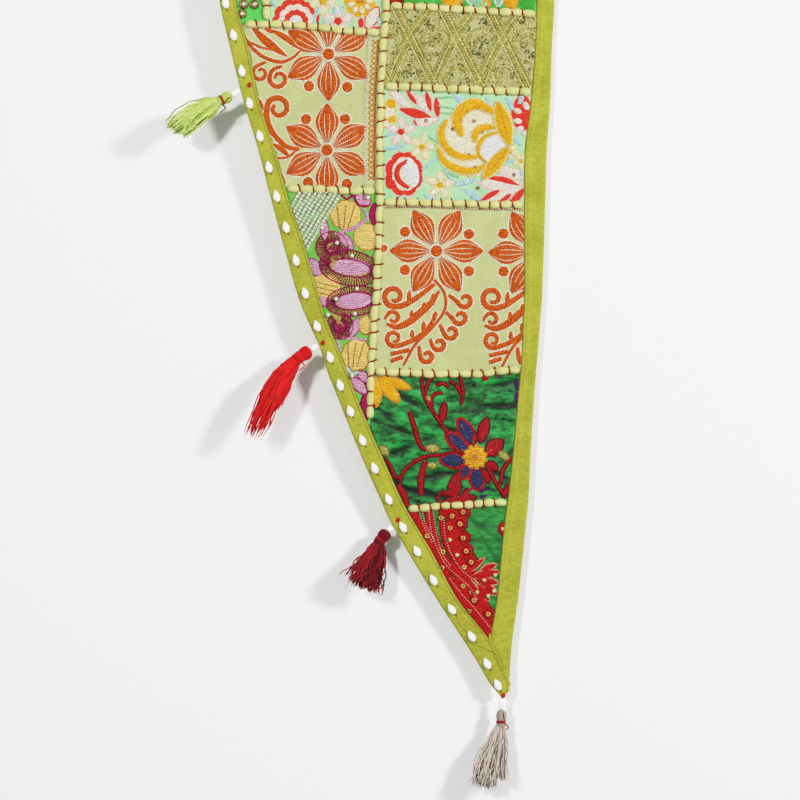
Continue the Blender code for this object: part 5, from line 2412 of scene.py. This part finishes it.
def satin_top() -> Shapes:
    """Draw the upper satin patch: hanging yellow petals, and dark red and pale leaves between them.

    Returns:
        The shapes.
    """
    return (
        *leaves("mint_thread", "white", ((90, 60), (103, 95), 26), ((122, 50), (118, 92), 14)),
        *leaves("leaf_thread", "", ((20, 62), (40, 92), 24), ((140, 55), (150, 98), 22),
                ((110, 12), (96, 40), 16)),
        *leaves("crimson", "crimson_shade", ((-4, 84), (30, 82), 12), ((6, 40), (14, 62), 12),
                ((130, 8), (146, 30), 12)),
        *leaves("gold_thread", "amber", ((70, 50), (73, 95), 32), ((132, 52), (131, 96), 22),
                ((84, 42), (40, 40), 24),
                ((80, 36), (62, 6), 22), ((86, 36), (108, 8), 22), ((90, 44), (128, 42), 24)),
        *lines("gold_thread", "amber", (2.6, ((100, 90), (105, 86), (109, 87), (108, 93)))),
        *concentric((84, 42), 12, 9, "scarlet", "gold_thread", "crimson"),
    )


def stitched() -> tuple[Embroidery, ...]:
    """List the embroidery of every patch.

    Returns:
        The pieces, one a patch.
    """
    drawn = {
        "sage_left": sage_left,
        "sage_right": sage_right,
        "mint_right": mint_right,
        "green_satin": green_satin,
        "tip": tip,
        "paisley": paisley,
        "olive_lattice": olive_lattice,
        "mint_top": mint_top,
        "bead_corner": bead_corner,
        "satin_top": satin_top,
    }
    patches = {patch.name.removeprefix("patch_"): patch for patch in PATCHES}
    return tuple(
        Embroidery(f"embroidery_{name}", patches[name].slot, patches[name], draw()) for name,
        draw in drawn.items()
    )


class Section(NamedTuple):
    """Middle and size of a tassel's skirt at one place."""

    across: float
    drop: float
    out: float
    width: float
    depth: float


class TasselRow(NamedTuple):
    """One tassel: its bead, its head, the sections of its skirt and its thread."""

    name: str
    bead_start: Spot
    head_top: Spot
    head_radius: float
    head_length: float
    axis: tuple[Section, ...]
    strands: int
    lobes: tuple[float, ...]
    thread: str
    reach: tuple[float, ...] = (1.0, 1.0)


TASSELS = (
    TasselRow(
        "green", (-140.2, 175.4), (-148.4, 180), 5.6, 17,
        (Section(-160, 186, 2, 8.2, 5.4), Section(-172, 193, 5, 19, 9),
         Section(-190, 205, 10, 23, 11), Section(-207, 221, 15, 22, 10)),
        220, (-0.6, 0.5, -0.4), "rust_thread", (0.94, 1.0, 0.9),
    ),
    TasselRow(
        "red", (-62.8, 430.4), (-69.4, 434.8), 6.8, 19.5,
        (Section(-82, 443, 2, 9.6, 6), Section(-90, 453, 5, 16, 9),
         Section(-104, 476, 10, 24, 10), Section(-124, 526, 14, 22, 9)),
        240, (0.45, -0.4, 0.3, 0.1), "red_yarn", (1.0, 0.8, 0.86, 0.94),
    ),
    TasselRow(
        "maroon", (12.2, 612), (7.8, 616), 6.4, 18,
        (Section(-0.6, 626.4, 2, 9, 5.4), Section(-4, 638, 5, 22, 11),
         Section(-11, 655, 9, 31, 13), Section(-19, 675, 12, 37, 12)),
        220, (-0.6, 0.6, 0.1), "wrap_thread", (0.97, 0.94, 1.0),
    ),
    TasselRow(
        "beige", (121.6, 783), (121.4, 794), 5.0, 19,
        (Section(120.5, 809, 2, 7.4, 5), Section(117, 824, 5, 20, 9),
         Section(112, 848, 9, 30, 11), Section(107, 874, 12, 36, 11)),
        240, (-0.65, 0.4, 0.5), "wrap_thread", (0.86, 1.0, 0.97),
    ),
)


STRAY_EVERY = 14
STRAY_SPREAD = 0.5
HEAD_PROFILE = (
    (0.0, 0.05), (0.03, 0.55), (0.1, 0.82), (0.2, 0.96), (0.34, 1.0), (0.48, 0.93),
    (0.6, 0.78), (0.68, 0.7), (0.76, 0.78), (0.86, 0.86), (0.94, 0.7), (1.0, 0.3),
)
HEAD_SIDES = 44
HEAD_YARNS = 15
HEAD_RIDGE = 0.07
WRAP_SPAN = (0.6, 0.14)
WRAP_SHADE = 0.8
WRAP_SIDES = 6
YARN_ENDS = (0.6, 0.8, 0.15)


def basis(ahead: Array) -> tuple[Array, Array, Array]:
    """Make three directions at right angles.

    Args:
        ahead: The first direction, of any length.

    Returns:
        The first direction, one to its side in the cloth's plane, and one out towards the room.
    """
    ahead = ahead / np.linalg.norm(ahead)
    side = np.cross(ahead, (0.0, 0.0, 1.0))
    side = side / np.linalg.norm(side)
    return ahead, side, np.cross(side, ahead)


def tube(centres: Array, radii: Array, sides: int) -> Array:
    """Wrap rings of points round a line.

    Args:
        centres: Points of the line in the flat frame, in millimetres.
        radii: Radius at each of them, in millimetres.
        sides: Points in a ring.

    Returns:
        The rings, rows by columns by three.
    """
    run = np.gradient(centres, axis=0)
    run /= np.linalg.norm(run, axis=1)[:, None]
    side = np.cross(run, (0.31, 0.2, 0.93))
    side /= np.linalg.norm(side, axis=1)[:, None]
    other = np.cross(run, side)
    turn = np.linspace(0, tau, sides + 1)[:-1]
    ring = side[:, None] * np.cos(turn)[None, :, None] + other[:, None] * np.sin(turn)[None, :, None]
    return centres[:, None] + ring * radii[:, None, None]


@dataclass(frozen=True)
class Tassels:
    """Yarn tassels on short white tube beads.

    Attributes:
        bead_radius: Radius of a tube bead, in millimetres.
        strand_radius: Radius of a yarn, in millimetres.
        rings: Rings of points along a yarn.
        uneven: How much the yarns' lengths differ, as a share.
        kink: How far a yarn waves to each side, in millimetres.
        sunk: Depth of the bead's middle line below the binding's front, in millimetres.
        lip: Rounding of a bead's ends, in millimetres.
        lip_radius: Radius at which the rounding starts, in millimetres.
        hole: Radius of a bead's hole, in millimetres.
        yarn_sides: Points round a yarn.
        wrap_turns: Turns of thread round the neck.
        wrap_radius: Radius of the thread, in millimetres.
        wrap_rows: Points along the wrapping thread.
        tail_rows: Points along each of its ends.
        pull: How strongly a yarn is drawn to its lobe, as a share of the skirt's half width.
        gather: How wide a lobe is, as a share of the skirt.
        curls: Least and greatest angle that a yarn curls through, in radians.
        curl: How far it curls to the side, as a share.
        flutter: How far it curls towards the room, as a share.
        kinks: Least and greatest angle that its waves run through, in radians.
        plump: Least and greatest thickness of a yarn, as a share.
    """

    bead_radius: float = 3.1
    strand_radius: float = 0.62
    rings: int = 22
    uneven: float = 0.09
    kink: float = 0.62
    sunk: float = 2.0
    lip: float = 0.5
    lip_radius: float = 1.8
    hole: float = 1.1
    yarn_sides: int = 5
    wrap_turns: float = 4.0
    wrap_radius: float = 0.55
    wrap_rows: int = 90
    tail_rows: int = 24
    pull: float = 0.75
    gather: float = 0.68
    curls: tuple[float, float] = (5.0, 11.0)
    curl: float = 0.2
    flutter: float = 0.22
    kinks: tuple[float, float] = (26.0, 40.0)
    plump: tuple[float, float] = (0.8, 1.15)

    def level(self, row: TasselRow) -> float:
        """Height of a tassel's bead above the plane of the cloth, in millimetres."""
        return float(HangingCloth.relief(*row.bead_start)) + Bands.relief - self.sunk

    def put(self, work: Work, points: Array, look: str, **marks: Number) -> None:
        """Add rings of points given in the flat frame."""
        work.grid(HangingCloth.place(points[..., 0], points[..., 1], points[..., 2]), look, round_way=True,
                  **marks)

    def ends(self, row: TasselRow) -> tuple[Array, Array, Array]:
        """Find the bead's start, the head's top and the skirt's first middle, in the flat frame."""
        level = self.level(row)
        neck = np.array([row.axis[0].across, row.axis[0].drop, level + row.axis[0].out])
        return np.array([*row.bead_start, level]), np.array([*row.head_top, level]), neck

    def turned(self, work: Work, start: Array, ahead: Array, rows: Sequence[tuple[float, float]], look: str,
               sides: int = 20, ridges: int = 0) -> None:
        """Turn a profile round a line.

        Args:
            work: Piece that it belongs to.
            start: First point of the line, in the flat frame.
            ahead: Direction of the line.
            rows: Distance along the line and radius of each ring, in millimetres.
            look: Name of the finish.
            sides: Points in a ring.
            ridges: Yarns that lie side by side round it, or 0 for none.
        """
        ahead, side, out = basis(ahead)
        turn = np.linspace(0, tau, sides + 1)[:-1]
        ridge = 1 + (HEAD_RIDGE * np.cos(turn * ridges) if ridges else 0.0 * turn)
        along, radius = np.array(rows).T
        ring = side * np.cos(turn)[:, None] + out * np.sin(turn)[:, None]
        swell = (radius[:, None] * ridge[None])[..., None]
        points = start + ahead * along[:, None, None] + ring[None] * swell
        # painted light and shade: the head's yarns are lighter on the ridges that the rings raise and darker
        # between them
        shade = 0.5 + 0.4 * np.cos(turn * ridges)[None] if ridges else 0.6
        self.put(work, points, look, shade=shade, stitch=along[:, None] * 0.8 + turn[None])

    def bead(self, row: TasselRow, finishes: Finishes) -> bpy.types.Object:
        """String the tube bead: rounded ends and an open hole.

        Args:
            row: The tassel.
            finishes: The finishes to take materials from.

        Returns:
            The piece.
        """
        start, stop, _ = self.ends(row)
        length = float(np.linalg.norm(stop - start)) - GAP
        r = self.bead_radius
        end = ((0.9, self.hole), (0.15, 1.3), (0.0, self.lip_radius), (0.1, r - self.lip), (0.6, r))
        rows = [*end, (length / 2, r + 0.05), *((length - inset, radius) for inset, radius in reversed(end))]
        work = Work("white_tube_bead_" + row.name, "white_bead")
        self.turned(work, start, stop - start, rows, "bead")
        piece = work.finish(finishes)
        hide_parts("tube_bead_" + row.name)
        return piece

    def middle(self, row: TasselRow, share: Array) -> tuple[Array, Array, Array]:
        """Read a skirt's middle line, half width and half depth.

        Args:
            row: The tassel.
            share: Share of the way from root to hem.

        Returns:
            Middle points in the flat frame, half widths and half depths, in millimetres.
        """
        keys = np.linspace(0, 1, len(row.axis))
        table = [soft_line(keys, [section[k] for section in row.axis])(share) for k in range(5)]
        centre = np.stack((table[0], table[1], table[2] + self.level(row)), axis=-1)
        return centre, table[3] / 2, table[4] / 2

    def build(self, row: TasselRow, chance: np.random.Generator, finishes: Finishes) -> bpy.types.Object:
        """Tie one tassel.

        Args:
            row: The tassel.
            chance: Source of unevenness.
            finishes: The finishes to take materials from.

        Returns:
            The piece.
        """
        work = Work("yarn_tassel_" + row.name, row.name + "_yarn")
        look = row.name + "_yarn"
        _, top, neck = self.ends(row)
        r, length = row.head_radius, row.head_length
        profile = [(along * length, share * r) for along, share in HEAD_PROFILE]
        self.turned(work, top, neck - top, profile, look, HEAD_SIDES, HEAD_YARNS)
        for number in range(row.strands):
            self.strand(work, row, chance, look, number)
        piece = work.finish(finishes)
        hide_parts("tassel_" + row.name)
        return piece

    def strand(self, work: Work, row: TasselRow, chance: np.random.Generator, look: str,
               number: int) -> None:
        """Hang one yarn of the skirt.

        Args:
            work: Piece that it belongs to.
            row: The tassel.
            chance: Source of unevenness.
            look: Name of the finish.
            number: Number of the yarn.
        """
        lobe = row.lobes[number % len(row.lobes)]
        reach = row.reach[number % len(row.lobes)] * (1.0 - self.uneven * abs(chance.normal()))
        share = np.linspace(0.0, reach, self.rings)
        centre, half_width, half_depth = self.middle(row, share)
        run = np.gradient(centre[:, :2], axis=0)
        run /= np.hypot(run[:, 0], run[:, 1])[:, None]
        angle, radius = chance.uniform(0, tau), chance.uniform(0, 1) ** 0.5
        sideways, outward = radius * cos(angle), radius * sin(angle)
        sideways = sideways * (1.0 + (STRAY_SPREAD * share if number % STRAY_EVERY == 0 else 0.0))
        sideways = sideways + (lobe * self.pull + sideways * self.gather - sideways) * share**1.4
        curl = np.sin(share * chance.uniform(*self.curls) + chance.uniform(0, tau)) * share
        sideways = sideways + curl * chance.normal() * self.curl
        flutter = np.sin(share * 7 + chance.uniform(0, tau)) * share
        outward = outward + flutter * chance.normal() * self.flutter
        kink = share * chance.uniform(*self.kinks) + chance.uniform(0, tau)
        centres = centre.copy()
        sway = sideways * half_width + np.sin(kink) * self.kink * np.sqrt(share)
        centres[:, 0] += -run[:, 1] * sway
        centres[:, 1] += run[:, 0] * sway
        centres[:, 2] += outward * half_depth + np.cos(kink) * self.kink * 0.5 * np.sqrt(share)
        radii = np.full(self.rings, self.strand_radius * chance.uniform(*self.plump))
        radii[[0, -2, -1]] *= YARN_ENDS
        # painted light and shade: strands towards the room and towards the hem are lighter, those near the
        # root darker, on top of a random tone
        shade = np.clip(0.5 + 0.36 * chance.normal() + 0.3 * outward + 0.16 * (share - 0.5), 0.0, 1.0)
        along = share[:, None] * 60 + np.linspace(0, 1.3, self.yarn_sides)[None]
        self.put(work, tube(centres, radii, self.yarn_sides), look, shade=shade[:, None], stitch=along)

    def thread(self, work: Work, row: TasselRow, line: Array, radii: Array, along: Array) -> None:
        """Run a round thread along a line.

        Args:
            work: Piece that it belongs to.
            row: The tassel, which names the thread's finish.
            line: Points of the line in the flat frame, in millimetres.
            radii: Radius at each of them, in millimetres.
            along: Distance along its twist at each of them.
        """
        self.put(work, tube(line, radii, WRAP_SIDES), row.thread, shade=WRAP_SHADE, stitch=along[:, None])

    def wraps(self, row: TasselRow, chance: np.random.Generator, finishes: Finishes) -> bpy.types.Object:
        """Bind the neck with thread, and run its end to the bead.

        Args:
            row: The tassel.
            chance: Source of unevenness.
            finishes: The finishes to take materials from.

        Returns:
            The piece.
        """
        work = Work("wrap_thread_" + row.name, "rust_braid")
        start, top, neck = self.ends(row)
        ahead, side, out = basis(neck - top)
        t = np.linspace(0, 1, self.wrap_rows)
        along = row.head_length * (WRAP_SPAN[0] + WRAP_SPAN[1] * t) + 0.25 * np.sin(t * 21)
        radius = row.head_radius * 0.8 + 0.35
        angle = t * tau * self.wrap_turns
        ring = side * np.cos(angle)[:, None] + out * np.sin(angle)[:, None]
        coil = top + ahead * along[:, None] + ring * radius
        self.thread(work, row, coil, np.full(len(t), self.wrap_radius), t * 60)
        t = np.linspace(0, 1, self.tail_rows)
        r = row.head_radius + 0.5
        spot = top + (coil[0] - top) * t[:, None]
        arch = np.sin(pi * t)
        hump = out * (arch**0.7 * r)[:, None] + side * (np.sin(t * 5 + 1) * 1.1 * arch)[:, None]
        self.thread(work, row, spot + hump * 0.9, np.full(len(t), 0.5), t * 30)
        tail = coil[-1] + np.stack([np.zeros(len(t)), 8 * t, 1.5 * np.sin(pi * t)], axis=1)
        tail[:, 0] += 3.0 * np.sin(t * 4.2) * (1 if chance.uniform() > 0.5 else -1)
        self.thread(work, row, tail, np.linspace(0.7, 0.5, len(t)), t * 30)
        return work.finish(finishes)


@dataclass(frozen=True)
class Braid:
    """The narrow crossed stitching beside the column seam.

    Attributes:
        low: Its left side, from the column seam, in millimetres.
        high: Its right side, from the column seam, in millimetres.
        first: Where it starts, as a drop.
        last: Where it ends, as a drop.
        pitch: Length of one crossing, in millimetres.
        edge_step: Distance between the stitches of its edge, in millimetres.
        edge_reach: How far these stitches reach in, in millimetres.
        inset: Distance of the crossings from its left side, in millimetres.
        rows: Points along its cloth.
        columns: Points over its width.
    """

    low: float = -14.5
    high: float = -5.2
    first: float = 123.0
    last: float = 270.0
    pitch: float = 5.2
    edge_step: float = 2.6
    edge_reach: float = 2.6
    inset: float = 2.9
    rows: int = 90
    columns: int = 7

    def build(self, finishes: Finishes) -> bpy.types.Object:
        """Stitch the braid: a cream edge, then crossing threads.

        Args:
            finishes: The finishes to take materials from.

        Returns:
            The piece.
        """
        work = Work("crossed_braid", "rust_braid")
        column = LINES[Seam.COLUMN]
        drops = np.linspace(self.first, self.last, self.rows)
        wide = np.linspace(self.low, self.high, self.columns)
        across = column(drops)[:, None] + wide
        drop = np.broadcast_to(drops[:, None], across.shape)
        swell = 1 - np.abs(np.linspace(-1, 1, self.columns)) ** 3
        work.lay(across, drop, 0.1 + 0.5 * swell[None], "sage_ground")
        for number, drop in enumerate(np.arange(self.first, self.last, self.edge_step)):
            edge = float(column(drop)) + self.low
            reach = self.edge_reach + 0.9 * (number % 2)
            stitch = Path([(edge - 1.0, drop), (edge + reach, drop - 0.8)], rows=4)
            stitch.rope(work, 1.5, 0.6, "cream", lift=0.5)
        for drop in np.arange(self.first + 2, self.last - self.pitch, self.pitch):
            left, right = float(column(drop)) + self.low + self.inset, float(column(drop)) + self.high
            for ends in (((left, drop), (right, drop + self.pitch)),
                         ((right, drop), (left, drop + self.pitch))):
                Path(ends, rows=6).rope(work, 1.25, 0.7, "amber", lift=0.65)
            side = Path([(right - 0.2, drop), (right, drop + self.pitch)], rows=4)
            side.rope(work, 1.1, 0.7, "orange", lift=0.7)
        piece = work.finish(finishes)
        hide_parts("braid_trim")
        return piece


LAMPS = (
    ("soft_front", (0.1, -2.6, 0.1), 2.6, 6.0),
    ("right_lamp", (1.9, -1.9, 0.35), 0.35, 50.0),
    ("left_lamp", (-1.1, -2.4, 0.35), 0.3, 32.5),
    ("behind", (-0.4, 2.2, 0.3), 1.6, 14.0),
)
WORLD_STRENGTH = 0.08
WALL_SIZE = (3.2, 2.6)
WALL_WHITE = (0.95, 0.953, 0.956, 1.0)
FLOOR_SIZE = (3.2, 3.2)
FLOOR_FORWARD = 1.35
FLOOR_GREYS = ((0.26, 0.26, 0.27), (0.3, 0.3, 0.31))


@dataclass(frozen=True)
class Studio:
    """Camera, light and the plain backdrop and floor.

    Attributes:
        middle_across: Across that the camera faces, in metres.
        middle_up: Height that the camera faces, in metres.
        field: Width of the view at the cloth, in metres.
        distance: Distance of the camera, in metres.
        wall_gap: Distance of the backdrop behind the cloth at the middle, in metres.
        wall_turn: How much the backdrop comes forward towards the right, as a slope.
        floor: Height of the floor, in metres.
    """

    middle_across: float = 0.020
    middle_up: float = -0.485
    field: float = 0.8
    distance: float = 2.4
    wall_gap: float = 0.023
    wall_turn: float = 0.075
    floor: float = -0.93

    def build(self) -> None:
        """Set up the camera, the lights, the backdrop and the floor."""
        self.camera()
        self.lights()
        wall = self.sheet("backdrop", *WALL_SIZE, self.wall_material())
        wall.location = (0.0, self.wall_gap, self.floor + WALL_SIZE[1] / 2)
        wall.rotation_euler = (pi / 2, 0.0, -self.wall_turn)
        floor = self.sheet("floor", *FLOOR_SIZE, self.floor_material())
        floor.location = (0.0, -FLOOR_FORWARD, self.floor)

    def camera(self) -> None:
        """Face the cloth square on, as far away as a long lens needs."""
        data = bpy.data.cameras.new("camera")
        data.sensor_width = 36.0
        data.lens = data.sensor_width * self.distance / self.field
        camera = bpy.data.objects.new("camera", data)
        camera.location = (self.middle_across, -self.distance, self.middle_up)
        camera.rotation_euler = (pi / 2, 0.0, 0.0)
        bpy.context.scene.collection.objects.link(camera)
        bpy.context.scene.camera = camera

    def lights(self) -> None:
        """Light it softly from the front, with one lamp to the right and one to the left."""
        for name, spot, size, power in LAMPS:
            data = bpy.data.lights.new(name, "AREA")
            data.size, data.energy = size, power
            lamp = bpy.data.objects.new(name, data)
            lamp.location = spot
            aim = np.array((0.0, 0.0, self.middle_up)) - np.array(spot)
            yaw, pitch = np.arctan2(-aim[0], aim[1]), np.arctan2(np.hypot(aim[0], aim[1]), -aim[2])
            lamp.rotation_euler = (float(pitch), 0.0, float(yaw))
            bpy.context.scene.collection.objects.link(lamp)
        world = bpy.data.worlds.new("studio")
        world.use_nodes = True
        world.node_tree.nodes["Background"].inputs["Color"].default_value = (1.0, 1.0, 1.0, 1.0)
        world.node_tree.nodes["Background"].inputs["Strength"].default_value = WORLD_STRENGTH
        bpy.context.scene.world = world
        self.tone()

    def tone(self) -> None:
        """Let the brightest tones flatten out, as they do on the photographed wall."""
        view = bpy.context.scene.view_settings
        view.view_transform = "Standard"
        view.use_curve_mapping = True
        curves = view.curve_mapping
        curves.use_clip = True
        curves.clip_max_x = TONES[-1][0]
        points = curves.curves[3].points
        points[0].location, points[1].location = TONES[0], TONES[-1]
        for spot in TONES[1:-1]:
            points.new(*spot)
        curves.update()

    def sheet(self, name: str, wide: float, tall: float, material: bpy.types.Material) -> bpy.types.Object:
        """Make one flat sheet of the studio.

        Args:
            name: Name of the sheet.
            wide: Its width in metres.
            tall: Its height in metres.
            material: Its material.

        Returns:
            The sheet, which isn't part of the object.
        """
        mesh = bpy.data.meshes.new(name)
        x, y = wide / 2, tall / 2
        mesh.from_pydata([(-x, -y, 0), (x, -y, 0), (x, y, 0), (-x, y, 0)], [], [(0, 1, 2, 3)])
        sheet = bpy.data.objects.new(name, mesh)
        mesh.materials.append(material)
        bpy.context.scene.collection.objects.link(sheet)
        return sheet

    def wall_material(self) -> bpy.types.Material:
        """Plain white on the side that faces the room, and clear from behind."""
        shader = Shader("backdrop", Roughness=0.9)
        shader.surface.inputs["Base Color"].default_value = WALL_WHITE
        clear = shader.node("ShaderNodeBsdfTransparent")
        behind = shader.node("ShaderNodeNewGeometry", out="Backfacing")
        shadow = shader.node("ShaderNodeLightPath", out="Is Shadow Ray")
        share = shader.node("ShaderNodeMath", {"operation": "MAXIMUM"}, {0: behind, 1: shadow})
        front = Term(shader, shader.surface.outputs[0])
        mixed = shader.node("ShaderNodeMixShader", {}, {0: share, 1: front, 2: clear})
        shader.tree.links.new(mixed.socket, shader.output.inputs["Surface"])
        return shader.material

    def floor_material(self) -> bpy.types.Material:
        """Plain grey floor."""
        shader = Shader("floor", Roughness=0.8)
        cloud = shader.noise(400.0, 2.0, 0.5)
        shader.feed("Base Color", shader.blend(cloud, *FLOOR_GREYS))
        return shader.material


CHANCE_SEED = 41
BEAD_KNOT = Round(NOWHERE, 2.2, "knot", squash=1.3, turn=20, lift=0.9, rise=1.3)
BEAD_KNOT_SPOTS = ((-130.5, 170), (-57, 428), (18, 605), (123, 780))
TONES = ((0.0, 0.0), (0.05, 0.048), (0.1, 0.118), (0.2, 0.26), (0.42, 0.57), (0.54, 0.695), (0.74, 0.83),
         (1.1, 0.93), (1.5, 0.975),
         (2.0, 1.0))
FINISHES = {
    "lime": Cotton(tint(198, 198, 84), tint(158, 160, 52)),
    "lime_thread": Thread(tint(142, 140, 30), tint(98, 96, 14)),
    "cord": Cotton(tint(242, 242, 172), tint(206, 208, 128), crease=0.8, pitch=1.2),
    "sage_ground": Cotton(tint(208, 214, 158), tint(188, 196, 134), crease=0.35),
    "mint_ground": Cotton(tint(202, 242, 190), tint(156, 216, 158), crease=0.45),
    "olive_ground": Cotton(tint(204, 204, 158), tint(166, 164, 106), crease=0.35),
    "leaf_ground": Cotton(tint(134, 208, 98), tint(104, 184, 72), crease=0.35),
    "bead_ground": Cotton(tint(120, 222, 116), tint(86, 196, 82), crease=0.35),
    "emerald_ground": Satin(tint(58, 166, 72), tint(14, 92, 38), roughness=0.5),
    "spring_satin": Satin(tint(98, 196, 84), tint(52, 150, 48)),
    "deep_satin": Satin(tint(54, 180, 84), tint(0, 32, 12)),
    "rust_thread": Thread(tint(196, 78, 30), tint(146, 46, 14), pitch=0.7, mottle=0.35),
    "knot": Thread(tint(214, 58, 26), tint(170, 34, 12), mottle=0.3),
    "wrap_thread": Thread(tint(206, 32, 30), tint(140, 10, 12), pitch=0.7, mottle=0.35),
    "shell": Glazed(tint(254, 253, 250, 1.0), tint(242, 239, 232, 1.0), roughness=0.3, coat=0.5),
    "bead": Glazed(tint(250, 251, 252, 1.0), tint(238, 240, 242, 1.0), roughness=0.2, coat=0.6),
    "green_yarn": Yarn(tint(226, 240, 150), tint(198, 222, 112), tint(130, 164, 48)),
    "red_yarn": Yarn(tint(252, 48, 44), tint(234, 14, 24), tint(156, 0, 8)),
    "maroon_yarn": Yarn(tint(176, 36, 48), tint(116, 6, 20), tint(50, 0, 6)),
    "beige_yarn": Yarn(tint(226, 216, 204), tint(188, 170, 154), tint(112, 90, 72)),
    "cream": Thread(tint(252, 242, 222), tint(226, 200, 162), mottle=0.3),
    "orange": Thread(tint(238, 114, 12), tint(162, 58, 2), mottle=0.42),
    "amber": Thread(tint(236, 164, 84), tint(196, 116, 40)),
    "scarlet": Thread(tint(250, 78, 52), tint(216, 42, 30), mottle=0.35),
    "blush": Thread(tint(255, 244, 230), tint(240, 214, 192), mottle=0.35),
    "shell_pink": Thread(tint(242, 212, 202), tint(226, 188, 176), mottle=0.3),
    "ivory": Thread(tint(254, 246, 214), tint(240, 220, 170), mottle=0.3),
    "straw": Thread(tint(246, 226, 160), tint(226, 196, 120), mottle=0.3),
    "gold_thread": Thread(tint(255, 198, 34), tint(230, 138, 6), mottle=0.36),
    "sky": Thread(tint(196, 230, 234), tint(160, 208, 212), mottle=0.3),
    "sky_shade": Thread(tint(150, 190, 196), tint(96, 150, 160), mottle=0.3),
    "mint_thread": Thread(tint(168, 220, 170), tint(144, 202, 148), mottle=0.25),
    "white": Thread(tint(246, 247, 243), tint(224, 230, 222), mottle=0.25),
    "tan": Thread(tint(196, 150, 104), tint(150, 104, 62), mottle=0.3),
    "olive": Thread(tint(206, 200, 112), tint(146, 138, 56)),
    "olive_pale": Thread(tint(236, 230, 160), tint(178, 170, 88)),
    "olive_dark": Thread(tint(84, 82, 38), tint(52, 52, 22)),
    "leaf_thread": Thread(tint(96, 200, 76), tint(50, 150, 50)),
    "olive_shade": Thread(tint(128, 128, 70), tint(84, 90, 40)),
    "crimson": Thread(tint(204, 20, 30), tint(130, 4, 14)),
    "crimson_shade": Thread(tint(104, 8, 18), tint(70, 2, 10)),
    "indigo": Thread(tint(78, 66, 140), tint(22, 62, 54), mottle=0.6),
    "violet": Thread(tint(96, 48, 112), tint(62, 24, 78)),
    "mauve": Thread(tint(238, 188, 212), tint(188, 132, 164), mottle=0.5),
    "mauve_shade": Thread(tint(176, 110, 146), tint(140, 74, 112)),
    "magenta": Thread(tint(194, 26, 108), tint(146, 8, 78)),
    "maroon_thread": Thread(tint(126, 18, 64), tint(84, 4, 38)),
    "sand": Thread(tint(252, 220, 136), tint(226, 180, 96), mottle=0.4),
    "sand_shade": Thread(tint(200, 152, 78), tint(166, 116, 50)),
    "tip_red": Thread(tint(228, 18, 24), tint(140, 4, 10), mottle=0.45),
    "tip_shade": Thread(tint(150, 10, 16), tint(110, 2, 8)),
    "coral": Thread(tint(252, 196, 164), tint(214, 92, 70), pitch=1.3, mottle=0.4),
    "mist_thread": Thread(tint(222, 232, 206), tint(172, 200, 156), mottle=0.4),
    "mist": Glazed(tint(220, 230, 210), tint(188, 206, 178), roughness=0.3, coat=0.4),
    "pearl": Glazed(tint(240, 236, 214), tint(222, 216, 190), roughness=0.25, coat=0.5),
    "gold": Glazed(tint(232, 206, 124), tint(206, 172, 84), roughness=0.3, metal=0.6),
    "bronze": Glazed(tint(150, 120, 72), tint(112, 84, 44), roughness=0.35, metal=0.6),
}


def main() -> None:
    """Build the drop piece by piece, and report each one."""
    logging.basicConfig(level=logging.INFO, format="%(message)s")
    finishes = Finishes(FINISHES)
    studio = Studio()
    studio.build()
    sheets = PatchSheets()
    for patch in PATCHES:
        sheets.build(patch, finishes)
    for embroidery in stitched():
        embroidery.build(finishes)
    bands = Bands()
    for band in BANDS:
        bands.build(band, finishes)
    bands.topstitch(finishes)
    ties = Work("couching_stitches", "rust_braid")
    chance = np.random.default_rng(CHANCE_SEED)
    cords = CouchedCords()
    for cord in CORDS:
        cords.build(cord, ties, chance, finishes)
    Braid().build(finishes)
    shells = Shells()
    for number, drop in enumerate(SHELL_DROPS, start=1):
        shells.build(number, drop, ties, finishes)
    for knot in dots(BEAD_KNOT_SPOTS, BEAD_KNOT):
        knot.stitch(ties)
    ties.finish(finishes)
    tassels = Tassels()
    for row in TASSELS:
        tassels.bead(row, finishes)
        tassels.build(row, chance, finishes)
        tassels.wraps(row, chance, finishes)


if __name__ == "__main__":
    main()
